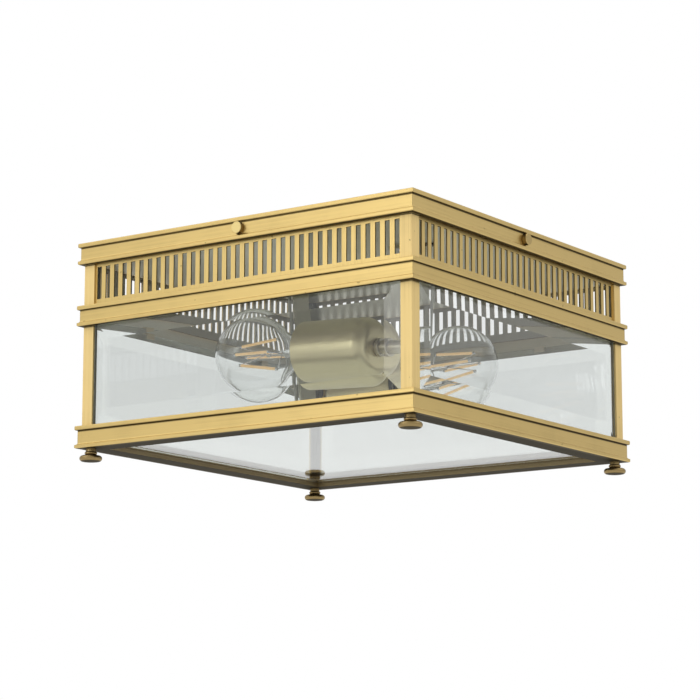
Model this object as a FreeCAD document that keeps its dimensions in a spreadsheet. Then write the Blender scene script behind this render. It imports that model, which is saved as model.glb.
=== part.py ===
"""Square flush ceiling lantern with a pierced gallery, bevelled panes and two lamps.

Millimetres, +Z up, ceiling at Z = 0. The front of the lantern faces -Y and its right side faces +X.
The lantern hangs from a ceiling pan by four thumbscrews. The two lamps lie head to tail on the pan.
"""
import FreeCAD, Part
import math
import os

import Sketcher

V = FreeCAD.Vector
NODE_FOLDER = "parts"

# Driving dimensions: alias, value. Lengths in millimetres, angles in degrees.
DRIVING_DIMENSIONS = (
    # Frame of the lantern, over its corner posts
    ("frame_width", 297.0),
    ("post_width", 9.5),
    ("post_lip", 1.65),
    ("rebate_depth", 1.2),
    ("edge_gap", 0.4),
    # Heights of the zones, from the ceiling down
    ("cornice_height", 16.5),
    ("gallery_height", 31.7),
    ("middle_height", 15.8),
    ("window_height", 76.0),
    ("base_height", 17.0),
    # Moulding of the three bands
    ("lip_reach", 3.9),
    ("fascia_reach", 2.2),
    ("lip_height", 3.4),
    ("lower_lip_height", 2.6),
    ("lip_round", 0.9),
    ("cove_rise", 1.8),
    ("top_return", 1.5),
    ("ledge_width", 15.0),
    ("ledge_thickness", 3.0),
    ("shelf_width", 6.5),
    ("shelf_thickness", 1.5),
    ("shelf_drop", 2.8),
    # Pierced gallery panels
    ("panel_thickness", 1.2),
    ("panel_tuck", 2.4),
    ("slot_width", 4.2),
    ("slot_pitch", 8.2),
    ("slot_height", 24.9),
    ("slot_top_margin", 2.6),
    # Bevelled panes
    ("pane_setback", 0.5),
    ("pane_thickness", 5.0),
    ("bevel_width", 15.0),
    ("bevel_depth", 1.3),
    ("pane_tuck", 4.0),
    ("floor_pane_thickness", 4.0),
    ("floor_bevel_depth", 1.3),
    # Spring clips that hold the panes
    ("clip_length", 9.0),
    ("clip_sheet", 0.8),
    ("clip_overlap", 3.6),
    ("clip_gap", 0.3),
    ("clip_spacing", 150.0),
    # Feet
    ("foot_inset", 5.0),
    ("foot_neck_radius", 3.9),
    ("foot_neck_height", 2.2),
    ("foot_collar_radius", 4.7),
    ("foot_collar_height", 2.3),
    ("foot_disc_radius", 8.5),
    ("foot_disc_height", 5.6),
    ("foot_disc_crown", 0.6),
    ("foot_stud_radius", 2.0),
    ("foot_stud_length", 9.0),
    # Thumbscrews
    ("knob_radius", 4.4),
    ("knob_thickness", 3.7),
    ("knob_chamfer", 0.4),
    ("knob_drop", 8.1),
    ("screw_radius", 2.0),
    ("screw_clearance", 0.09),
    ("screw_tip_gap", 0.3),
    # Ceiling pan and crossbar
    ("pan_gap", 2.0),
    ("pan_depth", 17.0),
    ("pan_sheet", 1.2),
    ("pan_corner", 5.0),
    ("bar_length", 132.0),
    ("bar_width", 24.0),
    ("bar_thickness", 2.0),
    ("bar_slot_spacing", 88.0),
    ("bar_slot_length", 18.0),
    ("bar_slot_radius", 2.4),
    ("cable_hole_radius", 6.0),
    ("cable_hole_offset", 21.0),
    ("stud_spacing", 116.0),
    ("stud_radius", 2.0),
    ("stud_clearance", 0.25),
    ("dome_nut_radius", 4.0),
    ("dome_nut_height", 6.5),
    # Lamps: place of a bracket and of a cup's open rim, and the parts along the lamp's axis
    ("bracket_inset", 48.3),
    ("lamp_aside", 60.4),
    ("lamp_drop", 85.9),
    ("lamp_tilt", 3.0),
    ("cup_radius", 23.0),
    ("cup_length", 64.0),
    ("cup_sheet", 0.9),
    ("cup_fillet", 10.0),
    ("holder_radius", 17.0),
    ("holder_mouth_inset", 3.0),
    ("holder_length", 36.0),
    ("holder_round", 3.0),
    ("holder_neck_radius", 9.0),
    ("contact_radius", 3.5),
    ("contact_height", 2.6),
    ("contact_gap", 0.2),
    ("tube_radius", 5.0),
    ("tube_bore", 3.6),
    ("tube_clearance", 0.1),
    ("tube_grip", 8.0),
    ("tube_reach", 29.0),
    ("nut_radius", 6.8),
    ("nut_thickness", 3.0),
    ("nut_stand_off", 0.6),
    ("nut_sleeve_radius", 5.9),
    ("bracket_width", 20.0),
    ("bracket_sheet", 2.0),
    ("bracket_below", 11.0),
    ("bracket_foot", 18.0),
    ("bracket_screw_spacing", 11.0),
    ("small_screw_radius", 1.75),
    ("small_screw_head", 3.2),
    ("small_screw_head_height", 2.2),
    ("small_screw_end", 2.5),
    # Bulbs
    ("globe_radius", 30.5),
    ("globe_reach", 49.0),
    ("globe_join_angle", 43.8),
    ("bulb_neck_radius", 12.4),
    ("bulb_neck_start", -8.0),
    ("bulb_neck_end", 4.0),
    ("bulb_shoulder_round", 34.5),
    ("bulb_wall", 0.8),
    ("cap_radius", 13.2),
    ("cap_clearance", 0.1),
    ("cap_length", 22.0),
    ("cap_stand_out", 3.0),
    ("cap_contact_radius", 4.8),
    ("cap_contact_height", 3.0),
    ("stem_foot_radius", 8.0),
    ("stem_radius", 3.0),
    ("stem_flare_end", 14.0),
    ("stem_flare_round", 32.0),
    ("stem_end", 38.0),
    ("filament_radius", 1.1),
    ("filament_length", 37.0),
    ("filament_drop", 11.0),
    ("filament_low_circle", 11.5),
    ("filament_high_circle", 7.0),
    ("support_wire_radius", 0.4),
    # Wiring inside the pan
    ("block_length", 34.0),
    ("block_width", 20.0),
    ("block_height", 12.0),
    ("block_way_pitch", 10.0),
    ("block_way_radius", 1.8),
    ("block_way_depth", 4.0),
    ("wire_radius", 1.5),
    ("wire_bend", 6.0),
    ("wire_long_bend", 18.0),
    ("wire_stand_off", 10.0),
    ("grommet_radius", 4.6),
    ("grommet_groove_radius", 3.4),
    ("grommet_bore", 2.4),
    ("grommet_flange", 1.0),
    ("earth_along", 70.0),
    ("earth_aside", 30.0),
    ("earth_nut_radius", 4.0),
    ("earth_nut_height", 3.2),
    ("earth_stud_length", 8.0),
    # How far cutting tools run past what they cut
    ("overrun", 5.0),
)


class Size:
    """A size read from the sheet, or worked out from such sizes, with the expression that says so."""

    def __init__(self, value, text):
        self.value = value
        self.text = text

    @staticmethod
    def of(other):
        return other if isinstance(other, Size) else Size(float(other), repr(float(other)))

    def __add__(self, other):
        other = Size.of(other)
        return Size(self.value + other.value, f"({self.text} + {other.text})")

    def __sub__(self, other):
        other = Size.of(other)
        return Size(self.value - other.value, f"({self.text} - {other.text})")

    def __mul__(self, other):
        other = Size.of(other)
        return Size(self.value * other.value, f"({self.text} * {other.text})")

    def __truediv__(self, other):
        other = Size.of(other)
        return Size(self.value / other.value, f"({self.text} / {other.text})")

    def __rmul__(self, other):
        return Size.of(other) * self

    def __neg__(self):
        return Size(-self.value, f"(-1 * {self.text})")


def sine(angle):
    """Sine of an angle in degrees."""
    return Size(math.sin(math.radians(angle.value)), f"sin({angle.text})")


def cosine(angle):
    """Cosine of an angle in degrees."""
    return Size(math.cos(math.radians(angle.value)), f"cos({angle.text})")


def whole(size):
    """The whole number at or below a size."""
    return Size(float(math.floor(size.value)), f"floor({size.text})")


def root(size):
    """Square root of a size."""
    return Size(math.sqrt(size.value), f"sqrt({size.text})")


def bow_radius(half_chord, rise):
    """Radius of an arc from half its chord and its rise."""
    return (half_chord * half_chord + rise * rise) / (2 * rise)


class SizeTable:
    """The spreadsheet of driving dimensions, read by name."""

    def __init__(self, doc):
        self.sheet = doc.addObject("Spreadsheet::Sheet", "sizes")
        for row, (alias, value) in enumerate(DRIVING_DIMENSIONS, start=1):
            self.sheet.set(f"A{row}", alias)
            self.sheet.set(f"B{row}", repr(value))
            self.sheet.setAlias(f"B{row}", alias)
        doc.recompute()
        self.values = {alias: float(self.sheet.get(alias)) for alias, _ in DRIVING_DIMENSIONS}

    def __getattr__(self, alias):
        return Size(self.values[alias], f"sizes.{alias}")


doc = FreeCAD.newDocument("ceiling_lantern")
size = SizeTable(doc)
ZERO = Size(0.0, "0")
sub_parts = []


class Arc:
    """A round stretch of an outline, from the corner before it to the corner after it."""

    def __init__(self, radius, bulge):
        self.radius = radius
        self.bulge = bulge


# Outlines run anticlockwise, so an arc bulges into the solid to the left and out of it to the right.
INTO = 1.0
OUT_OF = -1.0
BOTH_WAYS = (1.0, -1.0)


def bind(target, path, value):
    """Ties a property to an expression of sheet sizes."""
    target.setExpression(path, value.text)


def origin_plane(body, role):
    """One of the body's own origin planes or axes."""
    return next(item for item in body.Origin.OriginFeatures if item.Role == role)


def arc_geometry(start, end, radius, bulge):
    """The arc of one radius between two points, bulging to one side of the way between them."""
    chord = end - start
    half_chord = chord.Length / 2
    sideways = V(-chord.y, chord.x, 0).normalize()
    rise = radius - math.sqrt(max(radius * radius - half_chord * half_chord, 0.0))
    middle = (start + end) / 2 + sideways * rise * bulge
    return Part.Arc(start, middle, end)


def draw(sketch, outline):
    """Draws a closed outline of corners and arcs, each corner held by two driven distances."""
    corners = [step for step in outline if not isinstance(step, Arc)]
    arcs = {}
    count = 0
    for step in outline:
        if isinstance(step, Arc):
            arcs[count - 1] = step
        else:
            count += 1
    base = sketch.GeometryCount
    points = [V(x.value, y.value, 0) for x, y in corners]
    for index, start in enumerate(points):
        end = points[(index + 1) % count]
        if index in arcs:
            arc = arcs[index]
            sketch.addGeometry(arc_geometry(start, end, arc.radius.value, arc.bulge))
        else:
            sketch.addGeometry(Part.LineSegment(start, end))
    ends = []
    for index, start in enumerate(points):
        first = sketch.getPoint(base + index, 1)
        ends.append((1, 2) if first.distanceToPoint(start) < first.distanceToPoint(
            points[(index + 1) % count]) else (2, 1))
    for index in range(count):
        following = (index + 1) % count
        sketch.addConstraint(Sketcher.Constraint(
            "Coincident", base + index, ends[index][1], base + following, ends[following][0]))
    for index, (x, y) in enumerate(corners):
        for kind, value in (("DistanceX", x), ("DistanceY", y)):
            constraint = sketch.addConstraint(Sketcher.Constraint(
                kind, -1, 1, base + index, ends[index][0], value.value))
            bind(sketch, f"Constraints[{constraint}]", value)
    for index, arc in arcs.items():
        constraint = sketch.addConstraint(Sketcher.Constraint("Radius", base + index, arc.radius.value))
        bind(sketch, f"Constraints[{constraint}]", arc.radius)


def draw_circle(sketch, x, y, radius):
    """Draws a circle whose centre and radius are driven."""
    index = sketch.addGeometry(Part.Circle(V(x.value, y.value, 0), V(0, 0, 1), radius.value))
    for kind, value in (("DistanceX", x), ("DistanceY", y)):
        constraint = sketch.addConstraint(Sketcher.Constraint(kind, -1, 1, index, 3, value.value))
        bind(sketch, f"Constraints[{constraint}]", value)
    constraint = sketch.addConstraint(Sketcher.Constraint("Radius", index, radius.value))
    bind(sketch, f"Constraints[{constraint}]", radius)


def rectangle(x_low, y_low, x_high, y_high):
    """Outline of a rectangle between two opposite corners."""
    return [(x_low, y_low), (x_high, y_low), (x_high, y_high), (x_low, y_high)]


class Piece:
    """One sub-part made as a body of sketches and features."""

    def __init__(self, label):
        self.body = doc.addObject("PartDesign::Body", label)
        self.body.Label = label

    def sketch(self, plane, lift=ZERO):
        """A sketch on one of the body's own planes, lifted off it by a driven distance."""
        sketch = self.body.newObject("Sketcher::SketchObject", "Outline")
        sketch.AttachmentSupport = [(origin_plane(self.body, plane), "")]
        sketch.MapMode = "FlatFace"
        if lift is not ZERO:
            bind(sketch, ".AttachmentOffset.Base.z", lift)
        return sketch

    def pad(self, sketch, length, symmetric=False):
        """A pad along the sketch's normal, or to both sides of it."""
        pad = self.body.newObject("PartDesign::Pad", "Pad")
        pad.Profile = sketch
        bind(pad, "Length", length)
        if symmetric:
            pad.SideType = "Symmetric"
        return pad

    def pocket(self, sketch, depth=None, reverse=False):
        """A pocket to a depth, or right through both ways."""
        pocket = self.body.newObject("PartDesign::Pocket", "Pocket")
        pocket.Profile = sketch
        pocket.Reversed = reverse
        if depth is None:
            pocket.Type = "ThroughAll"
            pocket.SideType = "Symmetric"
        else:
            bind(pocket, "Length", depth)
        return pocket

    def revolve(self, outline):
        """A turned solid about Z from an outline of (radius, height)."""
        sketch = self.sketch("XZ_Plane")
        draw(sketch, outline)
        turned = self.body.newObject("PartDesign::Revolution", "Turned")
        turned.Profile = sketch
        turned.ReferenceAxis = (sketch, ["V_Axis"])
        turned.Angle = 360
        return turned

    def row(self, feature, occurrences, length):
        """Repeats a feature along X."""
        pattern = self.body.newObject("PartDesign::LinearPattern", "Row")
        pattern.Originals = [feature]
        pattern.Direction = (origin_plane(self.body, "X_Axis"), [""])
        bind(pattern, "Length", length)
        bind(pattern, "Occurrences", occurrences)
        self.body.Tip = pattern
        return pattern


def keep(label, target):
    """Marks an object as one of the sub-parts that are written out."""
    target.Label = label
    sub_parts.append(target)
    return target


def place(target, x=ZERO, y=ZERO, z=ZERO, axis=None, angle=None):
    """Puts an object at a driven place, turned about one axis by a driven angle."""
    if axis is not None:
        target.Placement = FreeCAD.Placement(V(), FreeCAD.Rotation(axis, angle.value))
        bind(target, ".Placement.Rotation.Angle", angle)
    for letter, value in (("x", x), ("y", y), ("z", z)):
        if value is not ZERO:
            bind(target, f".Placement.Base.{letter}", value)
    return target


def turned_copy(name, source, quarter_turns):
    """The same piece again, turned about the lantern's upright axis."""
    copy = doc.addObject("Part::Compound", name)
    copy.Links = [source]
    copy.Placement = FreeCAD.Placement(V(), FreeCAD.Rotation(V(0, 0, 1), 90 * quarter_turns))
    return copy


def group(name, members):
    """Several separate solids kept as one sub-part."""
    together = doc.addObject("Part::Compound", name)
    together.Links = members
    return together


SIDE_NAMES = ("front", "right", "back", "left")
LAMP_NAMES = ("front", "back")


def four_sides(label, source):
    """Keeps a piece of the front side and its copies on the other three sides."""
    keep(f"{label}_{SIDE_NAMES[0]}", source)
    for turns, side in enumerate(SIDE_NAMES[1:], start=1):
        name = f"{label}_{side}"
        keep(name, turned_copy(name, source, turns))


def both_lamps(label, source):
    """Keeps a piece of the front lamp and its copy, turned half round, on the back lamp."""
    keep(f"{label}_{LAMP_NAMES[0]}", source)
    name = f"{label}_{LAMP_NAMES[1]}"
    keep(name, turned_copy(name, source, 2))


# Levels and faces that several pieces share
half = size.frame_width / 2
gallery_top = -size.cornice_height
middle_top = gallery_top - size.gallery_height
middle_bottom = middle_top - size.middle_height
base_top = middle_bottom - size.window_height
base_bottom = base_top - size.base_height
post_core = size.post_width - size.rebate_depth
opening_half = half - size.post_width
pane_half = half - post_core - size.edge_gap
pane_inside = size.pane_setback + size.pane_thickness
pan_half = half - pane_inside - size.pan_gap
shelf_top = base_top - size.shelf_drop
ledge_top = base_bottom + size.ledge_thickness
cove_radius = bow_radius(size.cove_rise, size.lip_reach - size.fascia_reach)


def band_point(reach, level):
    """A point of the front band's section, by its reach beyond the post faces."""
    return (-(half + reach), level)


def band_outline(top, bottom, inner):
    """Section of a band: upper lip, flat fascia and a lower lip that flares out of it."""
    nose = size.lip_reach - size.lip_round
    lower_lip_top = bottom + size.lower_lip_height
    outline = [
        band_point(nose, top),
        Arc(size.lip_round, OUT_OF),
        band_point(size.lip_reach, top - size.lip_round),
        band_point(size.lip_reach, top - size.lip_height + size.lip_round),
        Arc(size.lip_round, OUT_OF),
        band_point(nose, top - size.lip_height),
        band_point(size.fascia_reach, top - size.lip_height),
        band_point(size.fascia_reach, lower_lip_top + size.cove_rise),
        Arc(cove_radius, INTO),
        band_point(size.lip_reach, lower_lip_top),
        band_point(size.lip_reach, bottom + size.lip_round),
        Arc(size.lip_round, OUT_OF),
        band_point(nose, bottom),
    ]
    outline.extend(inner)
    return outline


def make_band_rail(name, top, bottom, inner):
    """A front rail: its section run along X and mitred at both ends."""
    rail = Piece(name)
    section = rail.sketch("YZ_Plane")
    draw(section, band_outline(top, bottom, inner))
    outer = half + size.lip_reach
    rail.pad(section, 2 * outer, symmetric=True)
    past = outer + size.overrun
    inside = half - size.ledge_width - size.overrun
    for side in BOTH_WAYS:
        mitre = rail.sketch("XY_Plane")
        draw(mitre, [(side * inside, -inside), (side * past, -past), (side * past, -inside)])
        rail.pocket(mitre)
    return rail


def make_cornice_rail():
    """The top band, with a return against the ceiling and the thumbscrew's hole."""
    inner = [
        band_point(ZERO, gallery_top),
        band_point(ZERO, -size.top_return),
        band_point(-pane_inside, -size.top_return),
        band_point(-pane_inside, ZERO),
    ]
    rail = make_band_rail("cornice_rail_front", ZERO, gallery_top, inner)
    hole = rail.sketch("XZ_Plane")
    draw_circle(hole, ZERO, -size.knob_drop, size.screw_radius + size.screw_clearance)
    rail.pocket(hole)
    return rail.body


def make_middle_rail():
    """The band between the gallery and the panes."""
    inner = [band_point(ZERO, middle_bottom), band_point(ZERO, middle_top)]
    return make_band_rail("middle_rail_front", middle_top, middle_bottom, inner).body


def make_base_rail():
    """The bottom band, with a ledge for the floor pane and a shelf for the side pane."""
    shelf_under = shelf_top - size.shelf_thickness
    inner = [
        band_point(-size.ledge_width, base_bottom),
        band_point(-size.ledge_width, ledge_top),
        band_point(ZERO, ledge_top),
        band_point(ZERO, shelf_under),
        band_point(-size.shelf_width, shelf_under),
        band_point(-size.shelf_width, shelf_top),
        band_point(ZERO, shelf_top),
        band_point(ZERO, base_top),
    ]
    rail = make_band_rail("base_rail_front", base_top, base_bottom, inner)
    corner = half - size.foot_inset
    near = opening_half - size.edge_gap
    past = half + size.overrun
    for side in BOTH_WAYS:
        hole = rail.sketch("XY_Plane")
        draw_circle(hole, side * corner, -corner, size.foot_stud_radius + size.screw_clearance)
        rail.pocket(hole)
        notch = rail.sketch("XY_Plane", shelf_top + size.overrun)
        draw(notch, rectangle(side * near, -half, side * past, -near))
        rail.pocket(notch, size.overrun + size.shelf_thickness + size.edge_gap)
    return rail.body


def make_post():
    """The front left corner post, with a rebate on two sides for the panel and the pane."""
    post = Piece("corner_post_front")
    low = -half
    lip = low + size.post_lip
    core = low + post_core
    edge = low + size.post_width
    section = post.sketch("XY_Plane", ledge_top)
    draw(section, [(low, low), (edge, low), (edge, lip), (core, lip), (core, core),
                   (lip, core), (lip, edge), (low, edge)])
    post.pad(section, -size.top_return - ledge_top)
    corner = half - size.foot_inset
    hole = post.sketch("XY_Plane", ledge_top)
    draw_circle(hole, -corner, -corner, size.foot_stud_radius + size.screw_clearance)
    post.pocket(hole, size.foot_stud_length, reverse=True)
    return post.body


def make_gallery_panel():
    """The front pierced panel: a sheet with a row of upright slots."""
    panel = Piece("gallery_panel_front")
    outside = -(half - size.post_lip)
    plan = panel.sketch("XY_Plane", middle_top - size.panel_tuck)
    draw(plan, rectangle(-pane_half, outside, pane_half, outside + size.panel_thickness))
    panel.pad(plan, size.gallery_height + 2 * size.panel_tuck)
    slot_count = whole((2 * opening_half - size.slot_width) / size.slot_pitch) + 1
    row_length = (slot_count - 1) * size.slot_pitch
    slot_top = gallery_top - size.slot_top_margin
    first = -(row_length + size.slot_width) / 2
    slot = panel.sketch("XZ_Plane")
    draw(slot, rectangle(first, slot_top - size.slot_height, first + size.slot_width, slot_top))
    cut = panel.pocket(slot)
    panel.row(cut, slot_count, row_length)
    return panel.body


def make_bevelled_slab(name, low, high, face, edge, back):
    """An upright pane facing -Y: a slab with its outer face bevelled on all four sides."""
    bevel = doc.addObject("Part::Wedge", f"{name}_bevel")
    bind(bevel, "Xmin", -(pane_half - size.bevel_width))
    bind(bevel, "Xmax", pane_half - size.bevel_width)
    bind(bevel, "Zmin", low + size.bevel_width)
    bind(bevel, "Zmax", high - size.bevel_width)
    bind(bevel, "Ymin", -face)
    bind(bevel, "Ymax", -edge)
    bind(bevel, "X2min", -pane_half)
    bind(bevel, "X2max", pane_half)
    bind(bevel, "Z2min", low)
    bind(bevel, "Z2max", high)
    slab = doc.addObject("Part::Box", f"{name}_slab")
    bind(slab, "Length", 2 * pane_half)
    bind(slab, "Width", edge - back)
    bind(slab, "Height", high - low)
    place(slab, -pane_half, -edge, low)
    pane = doc.addObject("Part::MultiFuse", name)
    pane.Shapes = [bevel, slab]
    pane.Refine = True
    return pane


def make_side_pane():
    """The front pane, standing on the base rail's shelf."""
    return make_bevelled_slab(
        "side_pane_front", shelf_top, middle_bottom + size.pane_tuck, half - size.pane_setback,
        half - size.pane_setback - size.bevel_depth, half - pane_inside)


def make_floor_pane():
    """The bottom pane, lying on the ledge, bevelled on its upper face."""
    bevel_start = ledge_top + size.floor_pane_thickness - size.floor_bevel_depth
    side = pane_half
    inner = side - size.bevel_width
    slab = doc.addObject("Part::Box", "floor_pane_slab")
    bind(slab, "Length", 2 * side)
    bind(slab, "Width", 2 * side)
    bind(slab, "Height", bevel_start - ledge_top)
    place(slab, -side, -side, ledge_top)
    bevel = doc.addObject("Part::Wedge", "floor_pane_bevel")
    bind(bevel, "Xmin", -side)
    bind(bevel, "Xmax", side)
    bind(bevel, "Zmin", -side)
    bind(bevel, "Zmax", side)
    bind(bevel, "Ymin", bevel_start)
    bind(bevel, "Ymax", bevel_start + size.floor_bevel_depth)
    bind(bevel, "X2min", -inner)
    bind(bevel, "X2max", inner)
    bind(bevel, "Z2min", -inner)
    bind(bevel, "Z2max", inner)
    bevel.Placement = FreeCAD.Placement(V(), FreeCAD.Rotation(V(1, 0, 0), 90))
    pane = doc.addObject("Part::MultiFuse", "floor_pane")
    pane.Shapes = [slab, bevel]
    pane.Refine = True
    return pane


def make_pane_clips():
    """Two clips a side, soldered to the middle rail and turned down behind the pane's top edge."""
    over = middle_bottom + size.pane_tuck + size.clip_gap
    reach = -(half - pane_inside - size.clip_gap - size.clip_sheet)
    clips = []
    for side in BOTH_WAYS:
        clip = Piece("pane_clip")
        section = clip.sketch("YZ_Plane", side * (size.clip_spacing / 2))
        draw(section, [(-half, over), (reach - size.clip_sheet, over),
                       (reach - size.clip_sheet, over - size.clip_overlap),
                       (reach, over - size.clip_overlap),
                       (reach, over + size.clip_sheet), (-half, over + size.clip_sheet)])
        clip.pad(section, size.clip_length, symmetric=True)
        clips.append(clip.body)
    every = list(clips)
    for turns in (1, 2, 3):
        every.extend(turned_copy(f"{clip.Name}_turn_{turns}", clip, turns) for clip in clips)
    return group("pane_clips", every)


def make_foot():
    """The front left foot: neck, collar and flattened ball, with a threaded stud on top."""
    foot = Piece("corner_foot")
    neck = size.foot_neck_radius
    collar_top = -size.foot_neck_height
    collar_low = collar_top - size.foot_collar_height
    disc_low = collar_low - size.foot_disc_height
    disc_middle = collar_low - size.foot_disc_height / 2
    edge_round = size.foot_disc_height / 2 - size.foot_disc_crown
    shoulder = size.foot_disc_radius - edge_round
    crown_radius = bow_radius(shoulder, size.foot_disc_crown)
    collar_round = bow_radius(size.foot_collar_height / 2, size.foot_collar_radius - neck)
    stud_top = size.foot_stud_length + size.ledge_thickness - size.screw_clearance
    foot.revolve([
        (ZERO, stud_top),
        (ZERO, disc_low),
        Arc(crown_radius, OUT_OF),
        (shoulder, disc_low + size.foot_disc_crown),
        Arc(edge_round, OUT_OF),
        (size.foot_disc_radius, disc_middle),
        Arc(edge_round, OUT_OF),
        (shoulder, collar_low - size.foot_disc_crown),
        (neck, collar_low),
        Arc(collar_round, OUT_OF),
        (neck, collar_top),
        (neck, ZERO),
        (size.foot_stud_radius, ZERO),
        (size.foot_stud_radius, stud_top),
    ])
    corner = half - size.foot_inset
    return place(foot.body, -corner, -corner, base_bottom)


def make_thumbscrew():
    """The front thumbscrew: a flat-faced knob on a shank that bears on the pan's rim."""
    screw = Piece("thumbscrew_front")
    shank = half + size.fascia_reach - pan_half - size.screw_tip_gap
    rim = size.knob_radius - size.knob_chamfer
    screw.revolve([
        (ZERO, size.knob_thickness),
        (ZERO, -shank),
        (size.screw_radius - size.knob_chamfer, -shank),
        (size.screw_radius, -(shank - size.knob_chamfer)),
        (size.screw_radius, ZERO),
        (rim, ZERO),
        (size.knob_radius, size.knob_chamfer),
        (size.knob_radius, size.knob_thickness - size.knob_chamfer),
        (rim, size.knob_thickness),
    ])
    place(screw.body, y=-(half + size.fascia_reach), z=-size.knob_drop)
    screw.body.Placement.Rotation = FreeCAD.Rotation(V(1, 0, 0), 90)
    return screw.body


def rounded_square(reach, radius):
    """Outline of a square with rounded corners, centred on the origin."""
    flat = reach - radius
    return [
        (-flat, -reach), (flat, -reach), Arc(radius, OUT_OF),
        (reach, -flat), (reach, flat), Arc(radius, OUT_OF),
        (flat, reach), (-flat, reach), Arc(radius, OUT_OF),
        (-reach, flat), (-reach, -flat), Arc(radius, OUT_OF),
    ]


def slot_outline(middle, length, radius):
    """Outline of a round-ended slot along X."""
    flat = length / 2 - radius
    return [
        (middle - flat, -radius), (middle + flat, -radius), Arc(radius, OUT_OF),
        (middle + flat + radius, ZERO), Arc(radius, OUT_OF),
        (middle + flat, radius), (middle - flat, radius), Arc(radius, OUT_OF),
        (middle - flat - radius, ZERO), Arc(radius, OUT_OF),
    ]


# Lines of the front lamp, seen from the side. A lamp's own frame has its origin at the centre of the
# cup's open rim, +Z along the lamp towards the bulb and +X upwards across it.
tilt_sine = sine(size.lamp_tilt)
tilt_cosine = cosine(size.lamp_tilt)
cup_end = -size.cup_length
strap_inner = cup_end - size.tube_reach
strap_outer = strap_inner - size.bracket_sheet
rim_along = -strap_outer * tilt_cosine - (pan_half - size.bracket_inset)
pan_line = size.lamp_drop - size.pan_depth
tube_inner_end = cup_end + size.cup_sheet + size.tube_grip
tube_outer_end = strap_outer - size.nut_thickness
cap_end = size.cap_stand_out - size.cap_length
contact_end = cap_end - size.cap_contact_height
holder_floor = contact_end - size.contact_gap - size.contact_height
strap_foot_rise = (pan_line - size.bracket_sheet - strap_inner * tilt_sine) / tilt_cosine


def across(rise, along):
    """World X of a point of the front lamp's side view."""
    return rise * tilt_sine - along * tilt_cosine - rim_along


def level(rise, along):
    """World Z of a point of the front lamp's side view."""
    return -size.lamp_drop + rise * tilt_cosine + along * tilt_sine


bracket_screw_x = across(strap_foot_rise, strap_inner) - size.bracket_foot / 2
wire_level = -size.pan_depth + size.pan_sheet + size.block_height / 2
wire_corner = strap_outer - size.wire_stand_off
wire_rise = (wire_level + size.lamp_drop - wire_corner * tilt_sine) / tilt_cosine
grommet_rise = (pan_line + size.pan_sheet / 2 - wire_corner * tilt_sine) / tilt_cosine
grommet_x = across(grommet_rise, wire_corner)


def on_front_lamp(target):
    """Puts a piece made in the lamp's own frame on the front lamp."""
    right_angle = Size(90.0, "90")
    return place(target, -rim_along, -size.lamp_aside, -size.lamp_drop,
                 V(0, -1, 0), right_angle - size.lamp_tilt)


def make_ceiling_pan():
    """The shallow tray that closes off the wiring and carries both lamps under it."""
    pan = Piece("ceiling_pan")
    outside = pan.sketch("XY_Plane", -size.pan_depth)
    draw(outside, rounded_square(pan_half, size.pan_corner))
    pan.pad(outside, size.pan_depth)
    inside = pan.sketch("XY_Plane")
    draw(inside, rounded_square(pan_half - size.pan_sheet, size.pan_corner - size.pan_sheet))
    pan.pocket(inside, size.pan_depth - size.pan_sheet)
    holes = pan.sketch("XY_Plane")
    for side in BOTH_WAYS:
        draw_circle(holes, side * (size.stud_spacing / 2), ZERO, size.stud_radius + size.stud_clearance)
        draw_circle(holes, side * grommet_x, -(side * size.lamp_aside),
                    size.grommet_groove_radius + size.tube_clearance)
        for way in BOTH_WAYS:
            aside = size.lamp_aside + way * (size.bracket_screw_spacing / 2)
            draw_circle(holes, side * bracket_screw_x, -(side * aside),
                        size.small_screw_radius + size.screw_clearance)
    pan.pocket(holes)
    return pan.body


def make_crossbar():
    """The flat bar screwed to the ceiling, with two slots, a cable hole and two stud holes."""
    bar = Piece("crossbar")
    reach = size.bar_length / 2
    aside = size.bar_width / 2
    plan = bar.sketch("XY_Plane", -size.bar_thickness)
    draw(plan, rectangle(-reach, -aside, reach, aside))
    bar.pad(plan, size.bar_thickness)
    for side in BOTH_WAYS:
        slot = bar.sketch("XY_Plane")
        draw(slot, slot_outline(side * (size.bar_slot_spacing / 2), size.bar_slot_length,
                                size.bar_slot_radius))
        bar.pocket(slot)
    holes = bar.sketch("XY_Plane")
    draw_circle(holes, size.cable_hole_offset, ZERO, size.cable_hole_radius)
    for side in BOTH_WAYS:
        draw_circle(holes, side * (size.stud_spacing / 2), ZERO, size.stud_radius + size.screw_clearance)
    bar.pocket(holes)
    return bar.body


def make_pan_studs():
    """Two threaded studs that hang the pan from the crossbar."""
    stud = Piece("pan_stud")
    length = size.pan_depth + size.dome_nut_height / 2
    stud.revolve([(ZERO, ZERO), (ZERO, -length), (size.stud_radius, -length), (size.stud_radius, ZERO)])
    place(stud.body, x=size.stud_spacing / 2)
    return group("pan_studs", [stud.body, turned_copy("pan_stud_left", stud.body, 2)])


def make_dome_nuts():
    """Two domed nuts that close the studs under the pan."""
    nut = Piece("dome_nut")
    bore = size.stud_radius + size.screw_clearance
    bore_end = -(size.dome_nut_height / 2 + size.screw_clearance)
    dome_top = -(size.dome_nut_height - size.dome_nut_radius)
    nut.revolve([
        (bore, ZERO), (bore, bore_end), (ZERO, bore_end), (ZERO, -size.dome_nut_height),
        Arc(size.dome_nut_radius, OUT_OF),
        (size.dome_nut_radius, dome_top), (size.dome_nut_radius, ZERO),
    ])
    place(nut.body, x=size.stud_spacing / 2, z=-size.pan_depth)
    return group("dome_nuts", [nut.body, turned_copy("dome_nut_left", nut.body, 2)])


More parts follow.
